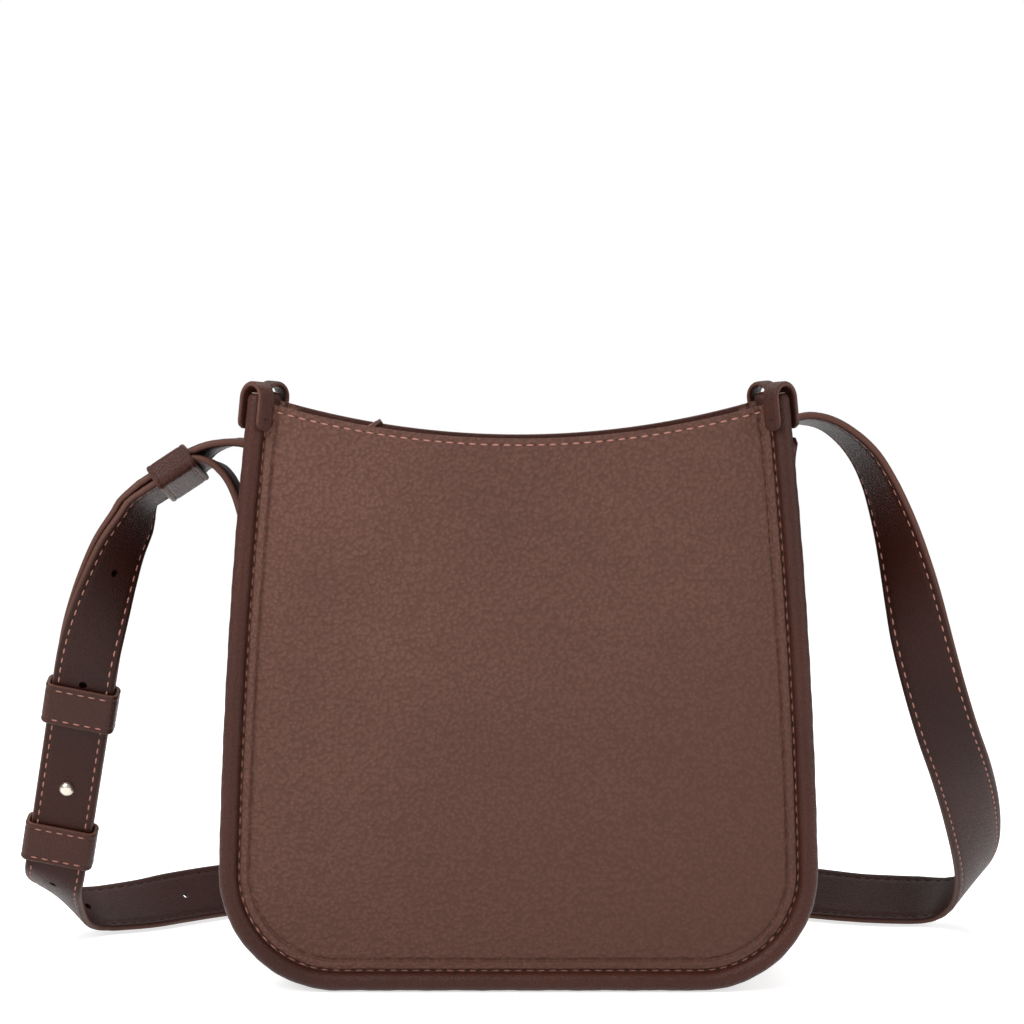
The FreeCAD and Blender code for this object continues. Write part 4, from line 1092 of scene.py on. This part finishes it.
# ---- zip pull -------------------------------------------------------------
d = np.array([math.cos(PULL_ANGLE), 0.0, math.sin(PULL_ANGLE)])
pn = np.array([-math.sin(PULL_ANGLE), 0.0, math.cos(PULL_ANGLE)])
hinge = np.array([SLIDER_X, 0.0, PULL_AXIS_Z])
s = np.concatenate([np.linspace(7.3, 9.0, 5), np.linspace(9.6, 23.4, 24)])
half = np.where(s < 9.2, 2.2, 4.4)
half = half * np.sqrt(np.clip(1.0 - np.clip((s - 20.4) / 3.1, 0.0, 1.0) ** 2.0, 0.12, 1.0))
profile = leather_profile(1.0, 1.55, 28)


def pull_profile(u, v):
    w, n = profile(u, v)
    k = np.rint(v * (len(s) - 1)).astype(int)
    return w * half[k], n * np.where(half[k] < 2.5, 0.95, 1.0)


pull_profile.columns = 28
pull_points = hinge + s[:, None] * d
pull = strip("zip_pull_leather", pull_points, np.tile([0.0, 1.0, 0.0], (len(s), 1)), np.tile(pn, (len(s), 1)),
             pull_profile)
finish(pull, "pull", "smooth_leather", smooth_leather, "pull_leather")
seam = np.array([(11.0, -3.2), (19.5, -3.2), (21.3, -2.0), (21.3, 2.0), (19.5, 3.2), (11.0, 3.2)])
fine = np.vstack([seam[k] + (seam[k + 1] - seam[k]) * np.linspace(0, 1, 8)[:-1, None] for k in range(5)])
for face, way in (("upper", 1.0), ("lower", -1.0)):
    line = hinge + fine[:, :1] * d + fine[:, 1:] * np.array([0.0, 1.0, 0.0]) + pn * way * 1.5
    at_up = np.tile(pn * way, (len(fine), 1))
    at = every_pitch(line, 2.9)
    stitch_row("zip_pull_stitches_" + face,
               *(sample(a, at) for a in (line, unit(np.gradient(line, axis=0)), at_up)),
               "pull", thread_pale, length=1.9, thick=0.28)

# ---- metal fittings keep their shape --------------------------------------
for node in ("strap_ring_left", "strap_ring_right", "stud_head", "stud_plate", "zip_slider", "pull_link",
             "zip_top_stops", "zip_bottom_stop", "front_zip_teeth", "back_zip_teeth"):
    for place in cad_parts[node].material_slots:
        place.material = nickel

# ---- stage, light and camera ----------------------------------------------
deselect()
bpy.ops.mesh.primitive_circle_add(vertices=96, radius=2.4, fill_type="NGON", location=(0, 0, -0.0006))
floor = bpy.context.object
floor.name = "floor"
pale, n, shader = new_material("pale floor", 0.9, 0.0)
shader.inputs["Base Color"].default_value = (0.80, 0.80, 0.80, 1)
path = n.add("ShaderNodeLightPath")
seen = n.maths("MAXIMUM", path.outputs["Is Camera Ray"], n.maths("MAXIMUM", path.outputs["Is Glossy Ray"],
                                                                 path.outputs["Is Transmission Ray"]))
glow = n.add("ShaderNodeEmission", {"Color": (1, 1, 1, 1), "Strength": n.maths("MULTIPLY", seen, 0.66)})
both = n.add("ShaderNodeAddShader", {0: shader.outputs[0], 1: glow.outputs[0]})
n.tree.links.new(both.outputs[0], pale.node_tree.nodes["Material Output"].inputs["Surface"])
floor.data.materials.append(pale)

world = bpy.data.worlds.new("studio")
bpy.context.scene.world = world
world.use_nodes = True
w = Nodes(world.node_tree)
path = w.add("ShaderNodeLightPath")
clear = w.maths("MAXIMUM", path.outputs["Is Camera Ray"], path.outputs["Is Transmission Ray"])
level = w.maths("ADD", w.maths("MULTIPLY", clear, 0.56), 0.44)
world.node_tree.links.new(level, world.node_tree.nodes["Background"].inputs["Strength"])
world.node_tree.nodes["Background"].inputs["Color"].default_value = (1, 1, 1, 1)


def softbox(name, place, aim, size, power):
    light = bpy.data.lights.new(name, "AREA")
    light.shape = "RECTANGLE"
    light.size, light.size_y = size
    light.energy = power
    lamp = bpy.data.objects.new(name, light)
    bpy.context.scene.collection.objects.link(lamp)
    lamp.location = place
    away = np.array(place) - np.array(aim)
    lamp.rotation_euler = (math.atan2(math.hypot(away[0], away[1]), away[2]), 0.0,
                           math.atan2(away[1], away[0]) + math.pi / 2.0)


softbox("key softbox", (-0.75, -0.85, 1.00), (0.0, 0.0, 0.12), (0.55, 0.9), 15.0)
softbox("fill softbox", (1.0, -0.6, 0.55), (0.0, 0.0, 0.12), (0.35, 0.9), 4.5)
softbox("top softbox", (0.0, 0.35, 1.15), (0.0, 0.0, 0.1), (1.2, 0.8), 7.0)

view = bpy.data.cameras.new("camera")
view.lens = 105.5
view.sensor_width = 36.0
view.clip_end = 50.0
camera = bpy.data.objects.new("camera", view)
bpy.context.scene.collection.objects.link(camera)
camera.location = (-0.0026, -1.240, 0.250)
camera.rotation_euler = (math.radians(90.0 - 2.7), 0.0, 0.0)
bpy.context.scene.camera = camera
bpy.context.scene.view_settings.view_transform = "Standard"
